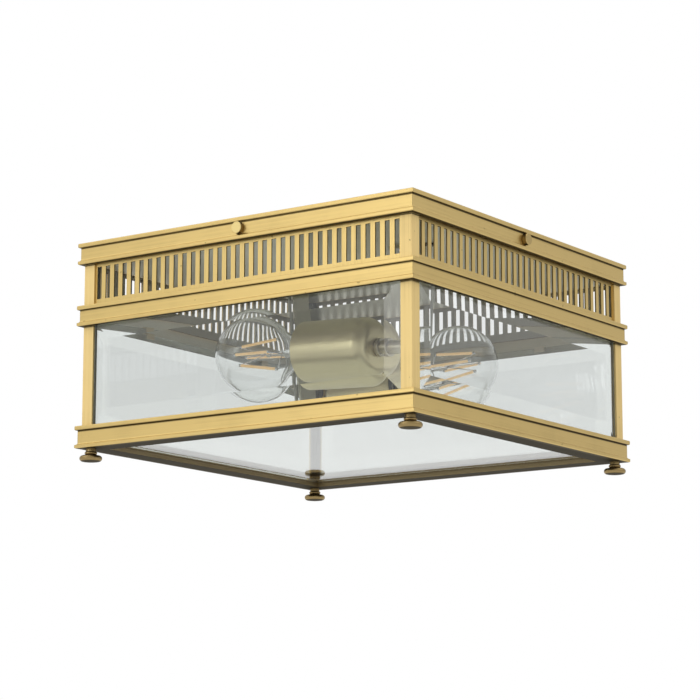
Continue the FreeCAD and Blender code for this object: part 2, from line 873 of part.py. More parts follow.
def make_bracket():
    """The front lamp's strap: a foot under the pan and a leg square to the lamp's tube."""
    strap = Piece("lamp_bracket_strap")
    outer_rise = (pan_line - strap_outer * tilt_sine) / tilt_cosine
    foot_end_rise = strap_foot_rise - size.bracket_foot * tilt_sine
    foot_end = strap_inner + size.bracket_foot * tilt_cosine
    section = strap.sketch("XZ_Plane")
    draw(section, [
        (-size.bracket_below, strap_outer),
        (outer_rise, strap_outer),
        (foot_end_rise + size.bracket_sheet * tilt_cosine, foot_end + size.bracket_sheet * tilt_sine),
        (foot_end_rise, foot_end),
        (strap_foot_rise, strap_inner),
        (-size.bracket_below, strap_inner),
    ])
    strap.pad(section, size.bracket_width, symmetric=True)
    hole = strap.sketch("XY_Plane")
    draw_circle(hole, ZERO, ZERO, size.tube_radius + size.tube_clearance)
    strap.pocket(hole)
    on_front_lamp(strap.body)
    drills = []
    for way in BOTH_WAYS:
        drill = doc.addObject("Part::Cylinder", "bracket_drill")
        bind(drill, "Radius", size.small_screw_radius + size.screw_clearance)
        bind(drill, "Height", 2 * size.overrun)
        place(drill, bracket_screw_x, -size.lamp_aside + way * (size.bracket_screw_spacing / 2),
              -size.pan_depth - size.bracket_sheet - size.overrun / 2)
        drills.append(drill)
    bracket = doc.addObject("Part::Cut", "lamp_bracket_front")
    bracket.Base = strap.body
    bracket.Tool = group("bracket_drills", drills)
    return bracket


def make_bracket_screws():
    """Two screws a bracket, up through its foot into the pan."""
    screw = Piece("bracket_screw")
    end = size.bracket_sheet + size.pan_sheet + size.small_screw_end
    screw.revolve([
        (ZERO, end), (ZERO, -size.small_screw_head_height),
        (size.small_screw_radius, -size.small_screw_head_height),
        Arc(size.small_screw_head, OUT_OF),
        (size.small_screw_head, ZERO), (size.small_screw_radius, ZERO), (size.small_screw_radius, end),
    ])
    near = size.bracket_screw_spacing / 2
    place(screw.body, bracket_screw_x, near - size.lamp_aside, -size.pan_depth - size.bracket_sheet)
    other = doc.addObject("Part::Compound", "bracket_screw_outer")
    other.Links = [screw.body]
    place(other, y=-size.bracket_screw_spacing)
    pair = group("bracket_screw_pair", [screw.body, other])
    return group("bracket_screws", [pair, turned_copy("bracket_screw_back_pair", pair, 2)])


def make_lamp_tube():
    """The front lamp's threaded tube, from the lampholder through the cup to the bracket."""
    tube = Piece("lamp_tube_front")
    tube.revolve([
        (size.tube_bore, tube_outer_end), (size.tube_radius, tube_outer_end),
        (size.tube_radius, tube_inner_end), (size.tube_bore, tube_inner_end),
    ])
    return on_front_lamp(tube.body)


def ring_nut(start, sleeve_end):
    """A ring nut below a level of the lamp's axis, with a sleeve up to another level."""
    nut = Piece("tube_nut")
    bore = size.tube_radius + size.screw_clearance
    rim = size.nut_radius - size.knob_chamfer
    low = start - size.nut_thickness
    outline = [
        (bore, low), (rim, low), (size.nut_radius, low + size.knob_chamfer),
        (size.nut_radius, start - size.knob_chamfer), (rim, start),
    ]
    if sleeve_end is not start:
        outline.extend([(size.nut_sleeve_radius, start), (size.nut_sleeve_radius, sleeve_end)])
    outline.append((bore, sleeve_end))
    nut.revolve(outline)
    return on_front_lamp(nut.body)


def make_tube_nuts():
    """Three ring nuts a tube: a sleeved one behind the cup and one on each side of the bracket."""
    inner_start = strap_inner + size.nut_thickness
    nuts = [ring_nut(cup_end - size.nut_stand_off, cup_end), ring_nut(inner_start, inner_start),
            ring_nut(strap_outer, strap_outer)]
    front = group("tube_nuts_front", nuts)
    return group("tube_nuts", [front, turned_copy("tube_nuts_back", front, 2)])


def make_cup():
    """The front lamp's spun cup, closed at the tube's end with a rounded shoulder."""
    cup = Piece("lamp_cup_front")
    hole = size.tube_radius + size.tube_clearance
    inner = size.cup_radius - size.cup_sheet
    shoulder = size.cup_radius - size.cup_fillet
    bend = cup_end + size.cup_fillet
    cup.revolve([
        (hole, cup_end), (shoulder, cup_end), Arc(size.cup_fillet, OUT_OF),
        (size.cup_radius, bend), (size.cup_radius, ZERO), (inner, ZERO),
        (inner, bend), Arc(size.cup_fillet - size.cup_sheet, INTO),
        (shoulder, cup_end + size.cup_sheet), (hole, cup_end + size.cup_sheet),
    ])
    return on_front_lamp(cup.body)


def make_lampholder():
    """The front lampholder: a moulded socket whose neck stands on the cup's floor."""
    holder = Piece("lampholder_front")
    mouth = -size.holder_mouth_inset
    body_end = mouth - size.holder_length
    neck_end = cup_end + size.cup_sheet
    socket = size.cap_radius + size.cap_clearance
    thread = size.tube_radius + size.tube_clearance
    holder.revolve([
        (ZERO, holder_floor), (ZERO, tube_inner_end + size.tube_clearance),
        (thread, tube_inner_end + size.tube_clearance),
        (thread, neck_end), (size.holder_neck_radius, neck_end), (size.holder_neck_radius, body_end),
        (size.holder_radius - size.holder_round, body_end), Arc(size.holder_round, OUT_OF),
        (size.holder_radius, body_end + size.holder_round), (size.holder_radius, mouth),
        (socket, mouth), (socket, holder_floor),
    ])
    return on_front_lamp(holder.body)


def make_holder_contacts():
    """The sprung centre contact on the floor of each lampholder."""
    contact = Piece("holder_contact")
    top = holder_floor + size.contact_height
    contact.revolve([
        (ZERO, top), (ZERO, holder_floor), (size.contact_radius, holder_floor), (size.contact_radius, top),
    ])
    on_front_lamp(contact.body)
    return group("holder_contacts", [contact.body, turned_copy("holder_contact_back", contact.body, 2)])


def make_bulb_glass():
    """The front bulb's clear envelope: a globe on a neck that runs into the cap."""
    glass = Piece("bulb_glass_front")
    join_sine = sine(size.globe_join_angle)
    join_cosine = cosine(size.globe_join_angle)
    inner_globe = size.globe_radius - size.bulb_wall
    inner_neck = size.bulb_neck_radius - size.bulb_wall
    glass.revolve([
        (inner_neck, size.bulb_neck_start), (size.bulb_neck_radius, size.bulb_neck_start),
        (size.bulb_neck_radius, size.bulb_neck_end), Arc(size.bulb_shoulder_round, INTO),
        (size.globe_radius * join_cosine, size.globe_reach - size.globe_radius * join_sine),
        Arc(size.globe_radius, OUT_OF),
        (ZERO, size.globe_reach + size.globe_radius), (ZERO, size.globe_reach + inner_globe),
        Arc(inner_globe, INTO),
        (inner_globe * join_cosine, size.globe_reach - inner_globe * join_sine),
        Arc(size.bulb_shoulder_round, OUT_OF),
        (inner_neck, size.bulb_neck_end),
    ])
    return on_front_lamp(glass.body)


def make_bulb_cap():
    """The front bulb's screw cap, with its contact at the end."""
    cap = Piece("bulb_cap_front")
    inner = size.bulb_neck_radius + size.cap_clearance
    cement = size.bulb_neck_start
    cap.revolve([
        (ZERO, cement), (ZERO, contact_end), (size.cap_contact_radius, contact_end),
        (size.cap_radius - size.cap_contact_height, cap_end),
        (size.cap_radius, cap_end + size.cap_contact_height),
        (size.cap_radius, size.cap_stand_out), (inner, size.cap_stand_out), (inner, cement),
    ])
    return on_front_lamp(cap.body)


def make_bulb_stem():
    """The front bulb's glass stem, flared at its foot."""
    stem = Piece("bulb_stem_front")
    stem.revolve([
        (ZERO, size.stem_end), (ZERO, size.bulb_neck_start), (size.stem_foot_radius, size.bulb_neck_start),
        Arc(size.stem_flare_round, INTO), (size.stem_radius, size.stem_flare_end),
        (size.stem_radius, size.stem_end),
    ])
    return on_front_lamp(stem.body)


def rod(name, start, end, radius):
    """A round rod in the XZ plane of a lamp's frame, between two points (across, along)."""
    rise = end[0] - start[0]
    run = end[1] - start[1]
    length = root(rise * rise + run * run)
    bearing = Size(math.degrees(math.atan2(rise.value, run.value)), f"atan2({rise.text}; {run.text})")
    bar = doc.addObject("Part::Cylinder", name)
    bind(bar, "Radius", radius)
    bind(bar, "Height", length)
    return place(bar, x=start[0], z=start[1], axis=V(0, 1, 0), angle=bearing)


def make_bulb_filaments():
    """The front bulb's four filament rods, wired to a collar round the stem and a post on its end."""
    wire = size.support_wire_radius
    low = size.stem_end - size.filament_drop
    high = low + size.filament_length
    low_end = (size.filament_low_circle, low)
    high_end = (size.filament_high_circle, high)
    collar = Piece("filament_collar")
    bore = size.stem_radius + size.cap_clearance
    collar.revolve([(bore, low - wire), (bore + 2 * wire, low - wire), (bore + 2 * wire, low + wire),
                    (bore, low + wire)])
    leg = doc.addObject("Part::MultiFuse", "filament_leg")
    leg.Shapes = [
        rod("filament_arm", (bore + wire, low), low_end, wire),
        rod("filament_rod", low_end, high_end, size.filament_radius),
        rod("filament_top_arm", (ZERO, high), high_end, wire),
    ]
    post = rod("filament_post", (ZERO, size.stem_end), (ZERO, high + wire), wire)
    legs = [turned_copy(f"filament_leg_{turns}", leg, turns) for turns in (1, 2, 3)]
    filaments = doc.addObject("Part::MultiFuse", "bulb_filaments_front")
    filaments.Shapes = [collar.body, post, leg] + legs
    return on_front_lamp(filaments)


def make_terminal_block():
    """The terminal block on the pan's floor, with three ways on each long side."""
    block = Piece("terminal_block")
    reach = size.block_length / 2
    aside = size.block_width / 2
    plan = block.sketch("XY_Plane", -size.pan_depth + size.pan_sheet)
    draw(plan, rectangle(-reach, -aside, reach, aside))
    block.pad(plan, size.block_height)
    for side, reverse in zip(BOTH_WAYS, (False, True)):
        ways = block.sketch("XZ_Plane", side * aside)
        for step in (-1, 0, 1):
            draw_circle(ways, step * size.block_way_pitch, wire_level, size.block_way_radius)
        block.pocket(ways, size.block_way_depth, reverse)
    return block.body


def make_grommets():
    """The rubber grommets where the lamp wires pass up through the pan."""
    grommet = Piece("wire_grommet")
    low = -size.grommet_flange
    high = size.pan_sheet + size.grommet_flange
    grommet.revolve([
        (size.grommet_bore, low), (size.grommet_radius, low), (size.grommet_radius, ZERO),
        (size.grommet_groove_radius, ZERO), (size.grommet_groove_radius, size.pan_sheet),
        (size.grommet_radius, size.pan_sheet), (size.grommet_radius, high), (size.grommet_bore, high),
    ])
    place(grommet.body, grommet_x, -size.lamp_aside, -size.pan_depth)
    return group("wire_grommets", [grommet.body, turned_copy("wire_grommet_back", grommet.body, 2)])


def make_earth_terminal():
    """The earth stud and nut on the pan's floor."""
    earth = Piece("earth_terminal")
    earth.revolve([
        (ZERO, size.earth_stud_length), (ZERO, ZERO), (size.earth_nut_radius, ZERO),
        (size.earth_nut_radius, size.earth_nut_height), (size.stud_radius, size.earth_nut_height),
        (size.stud_radius, size.earth_stud_length),
    ])
    return place(earth.body, size.earth_along, size.earth_aside, -size.pan_depth + size.pan_sheet)


def bent_path(corners, radii):
    """A path of straight runs through corners, joined by tangent arcs of the given radii."""
    edges = []
    start = corners[0]
    for before, corner, after, radius in zip(corners, corners[1:], corners[2:], radii):
        back = (before - corner).normalize()
        ahead = (after - corner).normalize()
        half_angle = back.getAngle(ahead) / 2
        reach = radius / math.tan(half_angle)
        bisector = (back + ahead).normalize()
        middle = corner + bisector * (radius / math.sin(half_angle) - radius)
        first = corner + back * reach
        last = corner + ahead * reach
        edges.append(Part.LineSegment(start, first).toShape())
        edges.append(Part.Arc(first, middle, last).toShape())
        start = last
    edges.append(Part.LineSegment(start, corners[-1]).toShape())
    return Part.Wire(edges)


def make_lamp_wire():
    """The front lamp's sleeved wire: along the tube, up behind the bracket and in to the block."""
    def at(rise, along):
        return V(across(rise, along).value, -size.lamp_aside.value, level(rise, along).value)

    way_x = size.block_way_pitch.value
    way_end = (size.block_width / 2 - size.block_way_depth).value
    corners = [
        at(ZERO, tube_inner_end),
        at(ZERO, wire_corner),
        at(wire_rise, wire_corner),
        V(way_x, -size.lamp_aside.value, wire_level.value),
        V(way_x, -way_end, wire_level.value),
    ]
    bends = [size.wire_bend.value, size.wire_bend.value, size.wire_long_bend.value]
    path = bent_path(corners, bends)
    along = (corners[1] - corners[0]).normalize()
    end = Part.Wire([Part.Circle(corners[0], along, size.wire_radius.value).toShape()])
    tube = path.makePipeShell([end], True, False)
    section = math.pi * size.wire_radius.value ** 2
    print("wire bends", bends, "length", round(path.Length, 2),
          "volume share", round(tube.Volume / (section * path.Length), 5))
    wire = doc.addObject("Part::Feature", "lamp_wire_front")
    wire.Shape = tube
    return wire


def check_states():
    """Stops with a message where any object failed to build."""
    failed = [item.Label for item in doc.Objects if {"Invalid", "Error"} & set(item.State)]
    if failed:
        raise SystemExit(f"These objects failed: {failed}")


def write_sub_parts():
    """Checks each sub-part's shape and writes it to its own file."""
    os.makedirs(NODE_FOLDER, exist_ok=True)
    for item in sub_parts:
        shape = item.Shape
        if shape.isNull() or not shape.isValid() or not shape.Solids:
            raise SystemExit(f"{item.Label} has no sound solid")
        shape.exportStep(os.path.join(NODE_FOLDER, f"{item.Label}.step"))
        print(f"{item.Label:24s} solids {len(shape.Solids)} volume {shape.Volume:12.2f}")
    print(len(sub_parts), "sub-parts")


# Lantern body
four_sides("cornice_rail", make_cornice_rail())
four_sides("middle_rail", make_middle_rail())
four_sides("base_rail", make_base_rail())
four_sides("gallery_panel", make_gallery_panel())
four_sides("side_pane", make_side_pane())
keep("floor_pane", make_floor_pane())
keep("pane_clips", make_pane_clips())
post = make_post()
foot = make_foot()
keep("corner_post_front_left", post)
keep("corner_post_front_right", turned_copy("corner_post_front_right", post, 1))
keep("corner_post_back_right", turned_copy("corner_post_back_right", post, 2))
keep("corner_post_back_left", turned_copy("corner_post_back_left", post, 3))
keep("corner_feet", group("corner_feet", [foot] + [
    turned_copy(f"corner_foot_turn_{turns}", foot, turns) for turns in (1, 2, 3)]))
four_sides("thumbscrew", make_thumbscrew())

# What stays on the ceiling
keep("crossbar", make_crossbar())
keep("ceiling_pan", make_ceiling_pan())
keep("pan_studs", make_pan_studs())
keep("dome_nuts", make_dome_nuts())
keep("terminal_block", make_terminal_block())
keep("earth_terminal", make_earth_terminal())
keep("wire_grommets", make_grommets())
keep("bracket_screws", make_bracket_screws())
keep("tube_nuts", make_tube_nuts())
keep("holder_contacts", make_holder_contacts())
both_lamps("lamp_bracket", make_bracket())
both_lamps("lamp_tube", make_lamp_tube())
both_lamps("lamp_cup", make_cup())
both_lamps("lampholder", make_lampholder())
both_lamps("lamp_wire", make_lamp_wire())

# The two bulbs
both_lamps("bulb_glass", make_bulb_glass())
both_lamps("bulb_cap", make_bulb_cap())
both_lamps("bulb_stem", make_bulb_stem())
both_lamps("bulb_filaments", make_bulb_filaments())

doc.recompute()
check_states()
write_sub_parts()
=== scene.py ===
"""Square flush ceiling lantern: finishes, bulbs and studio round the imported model."""

import logging
import math
from collections.abc import Mapping, Sequence
from dataclasses import dataclass
from enum import Enum

import bpy
from mathutils import Matrix, Vector


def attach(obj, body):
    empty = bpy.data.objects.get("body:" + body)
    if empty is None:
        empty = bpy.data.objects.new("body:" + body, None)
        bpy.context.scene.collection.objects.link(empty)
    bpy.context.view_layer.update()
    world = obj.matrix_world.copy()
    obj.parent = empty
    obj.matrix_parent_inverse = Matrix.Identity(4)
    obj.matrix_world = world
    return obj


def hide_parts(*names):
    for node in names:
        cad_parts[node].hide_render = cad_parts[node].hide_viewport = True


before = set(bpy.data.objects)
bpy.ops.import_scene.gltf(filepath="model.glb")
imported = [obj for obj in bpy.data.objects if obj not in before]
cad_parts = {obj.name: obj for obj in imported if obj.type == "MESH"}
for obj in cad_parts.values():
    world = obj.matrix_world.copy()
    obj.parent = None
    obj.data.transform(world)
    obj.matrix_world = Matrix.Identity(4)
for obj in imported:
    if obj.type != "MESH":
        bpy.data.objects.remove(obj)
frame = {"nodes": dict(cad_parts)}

LOG = logging.getLogger("lantern")
MM = 0.001
SIDES = ("front", "right", "back", "left")
CORNERS = ("front_left", "front_right", "back_right", "back_left")
Triple = tuple[float, float, float]
Pair = tuple[float, float]
Colour = Triple
Feed = "float | Sequence[float] | Tone | bpy.types.NodeSocket"
BLACK: Colour = (0.0, 0.0, 0.0)
WHITE: Colour = (1.0, 1.0, 1.0)


# Shader building


class Tone:
    """A number that flows through a finish; arithmetic on it adds Math nodes."""

    def __init__(self, sheet: "FinishSheet", socket: bpy.types.NodeSocket) -> None:
        """Keeps the sheet and the socket that carries the number."""
        self.sheet = sheet
        self.socket = socket

    def maths(self, operation: str, *values: Feed) -> "Tone":
        """Adds one Math node.

        Args:
            operation: The node's operation.
            values: What feeds its sockets, in order.

        Returns:
            The node's result.
        """
        node = self.sheet.node("ShaderNodeMath", {"operation": operation}, dict(enumerate(values)))
        return Tone(self.sheet, node.outputs[0])

    def __add__(self, other: Feed) -> "Tone":
        """Sum."""
        return self.maths("ADD", self, other)

    def __radd__(self, other: Feed) -> "Tone":
        """Sum, number first."""
        return self.maths("ADD", other, self)

    def __sub__(self, other: Feed) -> "Tone":
        """Difference."""
        return self.maths("SUBTRACT", self, other)

    def __rsub__(self, other: Feed) -> "Tone":
        """Difference, number first."""
        return self.maths("SUBTRACT", other, self)

    def __mul__(self, other: Feed) -> "Tone":
        """Product."""
        return self.maths("MULTIPLY", self, other)

    def __rmul__(self, other: Feed) -> "Tone":
        """Product, number first."""
        return self.maths("MULTIPLY", other, self)

    def __abs__(self) -> "Tone":
        """Size without its sign."""
        return self.maths("ABSOLUTE", self)

    def either(self, other: Feed) -> "Tone":
        """The larger of two numbers."""
        return self.maths("MAXIMUM", self, other)

    def lesser(self, other: Feed) -> "Tone":
        """The smaller of two numbers."""
        return self.maths("MINIMUM", self, other)

    def swing(self, share: float) -> "Tone":
        """How far a noise is from its middle, 0.5, times a share."""
        return (self - 0.5) * share

    def fade(self, low: float, high: float) -> "Tone":
        """A smooth step from 0 at one level to 1 at another.

        Args:
            low: Level where the result is 0.
            high: Level where the result is 1.

        Returns:
            The stepped number.
        """
        node = self.sheet.node("ShaderNodeMapRange", {"interpolation_type": "SMOOTHSTEP"},
                               {"Value": self, "From Min": low, "From Max": high})
        return Tone(self.sheet, node.outputs["Result"])

    def past(self, level: float, softness: float) -> "Tone":
        """1 past a level and 0 before it, fading over the softness on either side."""
        return self.fade(level - softness, level + softness)


class FinishSheet:
    """The node tree of one material or of the world."""

    def __init__(self, owner: "bpy.types.Material | bpy.types.World") -> None:
        """Clears the owner's node tree and keeps it."""
        owner.use_nodes = True
        self.owner = owner
        self.tree = owner.node_tree
        self.tree.nodes.clear()

    def node(self, kind: str, settings: "Mapping[str, object] | None" = None,
             inputs: "Mapping[str | int, Feed] | None" = None) -> bpy.types.Node:
        """Adds a node of any type.

        Args:
            kind: The node's type name.
            settings: Properties set first; "stops" holds a ramp's places and grey levels.
            inputs: Values or links of its sockets, by name or number.

        Returns:
            The new node.
        """
        node = self.tree.nodes.new(kind)
        for key, value in (settings or {}).items():
            if key == "stops":
                self._stops(node.color_ramp, value)
            else:
                setattr(node, key, value)
        for key, value in (inputs or {}).items():
            if isinstance(value, Tone):
                value = value.socket
            if isinstance(value, bpy.types.NodeSocket):
                self.tree.links.new(value, node.inputs[key])
            else:
                node.inputs[key].default_value = value
        return node

    @staticmethod
    def _stops(ramp: bpy.types.ColorRamp, stops: Sequence[Pair]) -> None:
        """Sets a ramp's stops.

        Args:
            ramp: The ramp, which starts with two stops.
            stops: Pairs of place and grey level.
        """
        while len(ramp.elements) < len(stops):
            ramp.elements.new(1.0)
        for element, (place, level) in zip(ramp.elements, stops):
            element.position = place
            element.color = (level, level, level, 1.0)

    def tone(self, socket: bpy.types.NodeSocket) -> Tone:
        """Wraps a socket for arithmetic."""
        return Tone(self, socket)

    def place(self) -> tuple[Tone, Tone, Tone]:
        """Where the shaded point is.

        Returns:
            Its three Object coordinates, in metres.
        """
        here = self.node("ShaderNodeTexCoord").outputs["Object"]
        parts = self.node("ShaderNodeSeparateXYZ", inputs={0: here}).outputs
        return self.tone(parts[0]), self.tone(parts[1]), self.tone(parts[2])

    def outward(self) -> Tone:
        """How far out the point lies on a square round the lantern's middle, in metres."""
        x, y, _ = self.place()
        return abs(x).either(abs(y))

    def noise(self, waves: "float | Triple", detail: float = 2.0) -> Tone:
        """A noise over Object coordinates.

        Args:
            waves: Waves per metre, one number for all axes or one for each.
            detail: Layers of finer noise.

        Returns:
            The noise, about 0.5 in the middle.
        """
        scale = (waves,) * 3 if isinstance(waves, float) else waves
        here = self.node("ShaderNodeTexCoord").outputs["Object"]
        mapped = self.node("ShaderNodeMapping", inputs={"Vector": here, "Scale": scale}).outputs[0]
        noise = self.node("ShaderNodeTexNoise", {"noise_dimensions": "3D"},
                          {"Vector": mapped, "Scale": 1.0, "Detail": detail, "Roughness": 0.55})
        return self.tone(noise.outputs["Fac"])

    def blend(self, factor: Feed, first: Feed, second: Feed) -> bpy.types.NodeSocket:
        """Mixes two colours.

        Args:
            factor: How much of the second colour shows.
            first: Colour at 0.
            second: Colour at 1.

        Returns:
            The mixed colour's socket.
        """
        first, second = (tuple(c) + (1.0,) if isinstance(c, tuple) and len(c) == 3 else c
                         for c in (first, second))
        mix = self.node("ShaderNodeMix", {"data_type": "RGBA"},
                        {"Factor": factor, 6: first, 7: second})
        return mix.outputs[2]

    def bump(self, height: Feed, depth: float) -> bpy.types.NodeSocket:
        """A bumped normal from a height; depth is the relief in metres."""
        node = self.node("ShaderNodeBump", inputs={"Height": height, "Distance": depth, "Strength": 1.0})
        return node.outputs["Normal"]

    def surface(self, shader: bpy.types.Node) -> bpy.types.Material:
        """Sends a shader to the material's surface and returns the material."""
        self.node("ShaderNodeOutputMaterial", inputs={"Surface": shader.outputs[0]})
        return self.owner

    def metal(self, colour: Feed, rough: Feed, normal: Feed) -> bpy.types.Material:
        """Makes the sheet a bare metal.

        Args:
            colour: Its colour.
            rough: Its roughness.
            normal: Its bumped normal.

        Returns:
            The material.
        """
        return self.surface(self.node("ShaderNodeBsdfPrincipled", inputs={
            "Base Color": colour, "Metallic": 1.0, "Roughness": rough, "Normal": normal}))

    def mixed(self, factor: Feed, first: bpy.types.Node, second: bpy.types.Node) -> bpy.types.Node:
        """Mixes two shaders; the factor says how much of the second shows."""
        return self.node("ShaderNodeMixShader", inputs={
            0: factor, 1: first.outputs[0], 2: second.outputs[0]})


def new_sheet(name: str) -> FinishSheet:
    """A new material of that name, ready for nodes."""
    return FinishSheet(bpy.data.materials.new(name))


def dimmed(colour: Colour, share: float) -> Colour:
    """A colour at a share of its brightness."""
    return tuple(share * c for c in colour)


# Finishes


class Grain(Enum):
    """Which way the brushing runs, as waves per metre along each axis."""

    ALONG_X = (3.0, 900.0, 900.0)
    ALONG_Y = (900.0, 3.0, 900.0)
    ALONG_Z = (900.0, 900.0, 3.0)


@dataclass(frozen=True)
class BrushedBrass:
    """Brushed brass with painted shade in lines under its lips and on the faces that look down.

    A zone is a limit, in millimetres out from the lantern's middle, and the tone of what lies
    nearer than that: the grey of inner faces, painted shade on slot and knob sides, and painted
    light where one copy is lighter than another. Later zones lie over earlier ones. Shade line
    levels are heights in millimetres of painted shade, and the stops say how dark a line is at
    each offset from its level, as shares of RAMP_SPAN.
    """

    name: str
    grain: Grain = Grain.ALONG_X
    colour: Colour = (0.735, 0.545, 0.215)
    zones: tuple[tuple[float, Colour], ...] = ()
    roughness: float = 0.38
    shade_line_levels: tuple[float, ...] = ()
    mitred: bool = False

    TARNISH = (0.130, 0.085, 0.030)
    # painted shade: the next three tones are for the shade lines, undersides and outer rails' inner faces
    LINE_SHADE = (0.045, 0.028, 0.008)
    UNDERSIDE_SHADE = (0.035, 0.028, 0.012)
    OUTER_RAIL_SHADE = (0.300, 0.235, 0.130)
    RAMP_SPAN = 0.170
    LINE_SHADE_STOPS = ((-0.0046, 0.0), (-0.0028, 1.0), (0.0009, 1.0), (0.0022, 0.0))
    CLOUD_WAVES, SPECK_WAVES = 28.0, 240.0
    SPECK_EDGE = (0.76, 0.80)
    GRAIN_STAIN, CLOUD_STAIN, SPECK_STAIN, SEAM_STAIN = 0.36, 0.40, 0.50, 0.50
    SEAM_EDGE = (0.08 * MM, 0.35 * MM)
    DOWN_EDGE = (0.75, 0.97)
    DOWN_SHADE_SHARE = 0.92
    GRAIN_ROUGH, DOWN_ROUGH, ZONE_ROUGH = 0.22, 0.25, 0.12
    ZONE_SOFTNESS = 0.04 * MM
    MIDDLE_RAIL_BAND = (-0.100, -0.029)
    BAND_SOFTNESS = 1.0 * MM
    RELIEF = 0.04 * MM

    def shade_lines(self, sheet: FinishSheet, height: Tone) -> Tone:
        """Painted shade: dark lines under the lips, at the shade line levels.

        Args:
            sheet: The material's sheet.
            height: The Z coordinate.

        Returns:
            1 on a painted shade line, 0 elsewhere.
        """
        stops = [(0.0, 0.0)]
        for level in sorted(self.shade_line_levels):
            centre = (level * MM + self.RAMP_SPAN) / self.RAMP_SPAN
            stops += [(centre + offset, dark) for offset, dark in self.LINE_SHADE_STOPS]
        along = (height + self.RAMP_SPAN) * (1.0 / self.RAMP_SPAN)
        ramp = sheet.node("ShaderNodeValToRGB", {"stops": stops}, {"Fac": along})
        return sheet.tone(ramp.outputs["Color"])

    def stains(self, sheet: FinishSheet, grain: Tone) -> Tone:
        """Tarnish in streaks, clouds and specks, and in the seam between mitred pieces.

        Args:
            sheet: The material's sheet.
            grain: The brushing's noise.

        Returns:
            How tarnished the brass is, from 0 to 1.
        """
        clouds = sheet.noise(self.CLOUD_WAVES, 3.0)
        specks = sheet.noise(self.SPECK_WAVES, 1.0).fade(*self.SPECK_EDGE)
        stain = (grain.swing(self.GRAIN_STAIN) + clouds.swing(self.CLOUD_STAIN)).either(0.0)
        stain = stain.either(specks * self.SPECK_STAIN)
        if self.mitred:
            x, y, _ = sheet.place()
            seam = 1.0 - abs(abs(x) - abs(y)).fade(*self.SEAM_EDGE)
            stain = stain.either(seam * self.SEAM_STAIN)
        return stain

    def undersides(self, sheet: FinishSheet) -> Tone:
        """Where the brass looks down.

        Args:
            sheet: The material's sheet.

        Returns:
            1 on undersides, 0 on faces that stand upright or look up.
        """
        facing = sheet.node("ShaderNodeNewGeometry").outputs["Normal"]
        upward = sheet.tone(sheet.node("ShaderNodeSeparateXYZ", inputs={0: facing}).outputs[2])
        return (0.0 - upward).fade(*self.DOWN_EDGE)

    def middle_rail(self, height: Tone) -> Tone:
        """Where a height is the middle rail's: 1 there, 0 at the cornice and the base."""
        low, high = (height.past(level, self.BAND_SOFTNESS) for level in self.MIDDLE_RAIL_BAND)
        return low * (1.0 - high)

    def material(self) -> bpy.types.Material:
        """Makes the material.

        Returns:
            Brushed brass with its grain and stains, painted shade lines, inner zones, and rougher
            undersides with painted shade.
        """
        sheet = new_sheet(self.name)
        _, _, height = sheet.place()
        grain = sheet.noise(self.grain.value, 3.0)
        down = self.undersides(sheet)
        colour = sheet.blend(self.stains(sheet, grain), self.colour, self.TARNISH)
        # painted shade: dark lines where the lips' shadow falls on rails and posts
        if self.shade_line_levels:
            colour = sheet.blend(self.shade_lines(sheet, height), colour, self.LINE_SHADE)
        rough = self.roughness + grain.swing(self.GRAIN_ROUGH) + down * self.DOWN_ROUGH
        for limit, tone in self.zones:
            within = 1.0 - sheet.outward().past(limit * MM, self.ZONE_SOFTNESS)
            if self.mitred:
                # painted shade: the cornice and base rails' inner faces take a dark brown
                tone = sheet.blend(self.middle_rail(height), self.OUTER_RAIL_SHADE, tone)
            colour = sheet.blend(within, colour, tone)
            rough = rough + within * self.ZONE_ROUGH
        # painted shade: faces that look down are darkened
        colour = sheet.blend(down * self.DOWN_SHADE_SHARE, colour, self.UNDERSIDE_SHADE)
        return sheet.metal(colour, rough, sheet.bump(grain, self.RELIEF))


@dataclass(frozen=True)
class SatinMetal:
    """A plain satin metal with a fine even grain; a skirt is the limit and tone of an upright edge."""

    name: str
    colour: Colour
    roughness: float
    relief: float = 0.02 * MM
    skirt: "tuple[float, Colour] | None" = None

    CLOUD_WAVES = 22.0
    DARKER_SHARE = 0.72
    GRAIN_SHADE, CLOUD_SHADE, EVEN_SHADE = 0.50, 0.40, 0.15
    GRAIN_ROUGH, SKIRT_ROUGH = 0.14, 0.15
    SKIRT_SOFTNESS = 0.4 * MM

    def material(self) -> bpy.types.Material:
        """Makes the material.

        Returns:
            Satin metal whose grain shows in its tone, gloss and relief.
        """
        sheet = new_sheet(self.name)
        grain = sheet.noise(Grain.ALONG_X.value)
        clouds = sheet.noise(self.CLOUD_WAVES)
        shade = grain.swing(self.GRAIN_SHADE) + clouds.swing(self.CLOUD_SHADE) + self.EVEN_SHADE
        colour = sheet.blend(shade.either(0.0), self.colour, dimmed(self.colour, self.DARKER_SHARE))
        rough = self.roughness + grain.swing(self.GRAIN_ROUGH)
        if self.skirt:
            limit, tone = self.skirt
            beyond = sheet.outward().past(limit * MM, self.SKIRT_SOFTNESS)
            colour = sheet.blend(beyond, colour, tone)
            rough = rough + beyond * self.SKIRT_ROUGH
        return sheet.metal(colour, rough, sheet.bump(grain, self.relief))


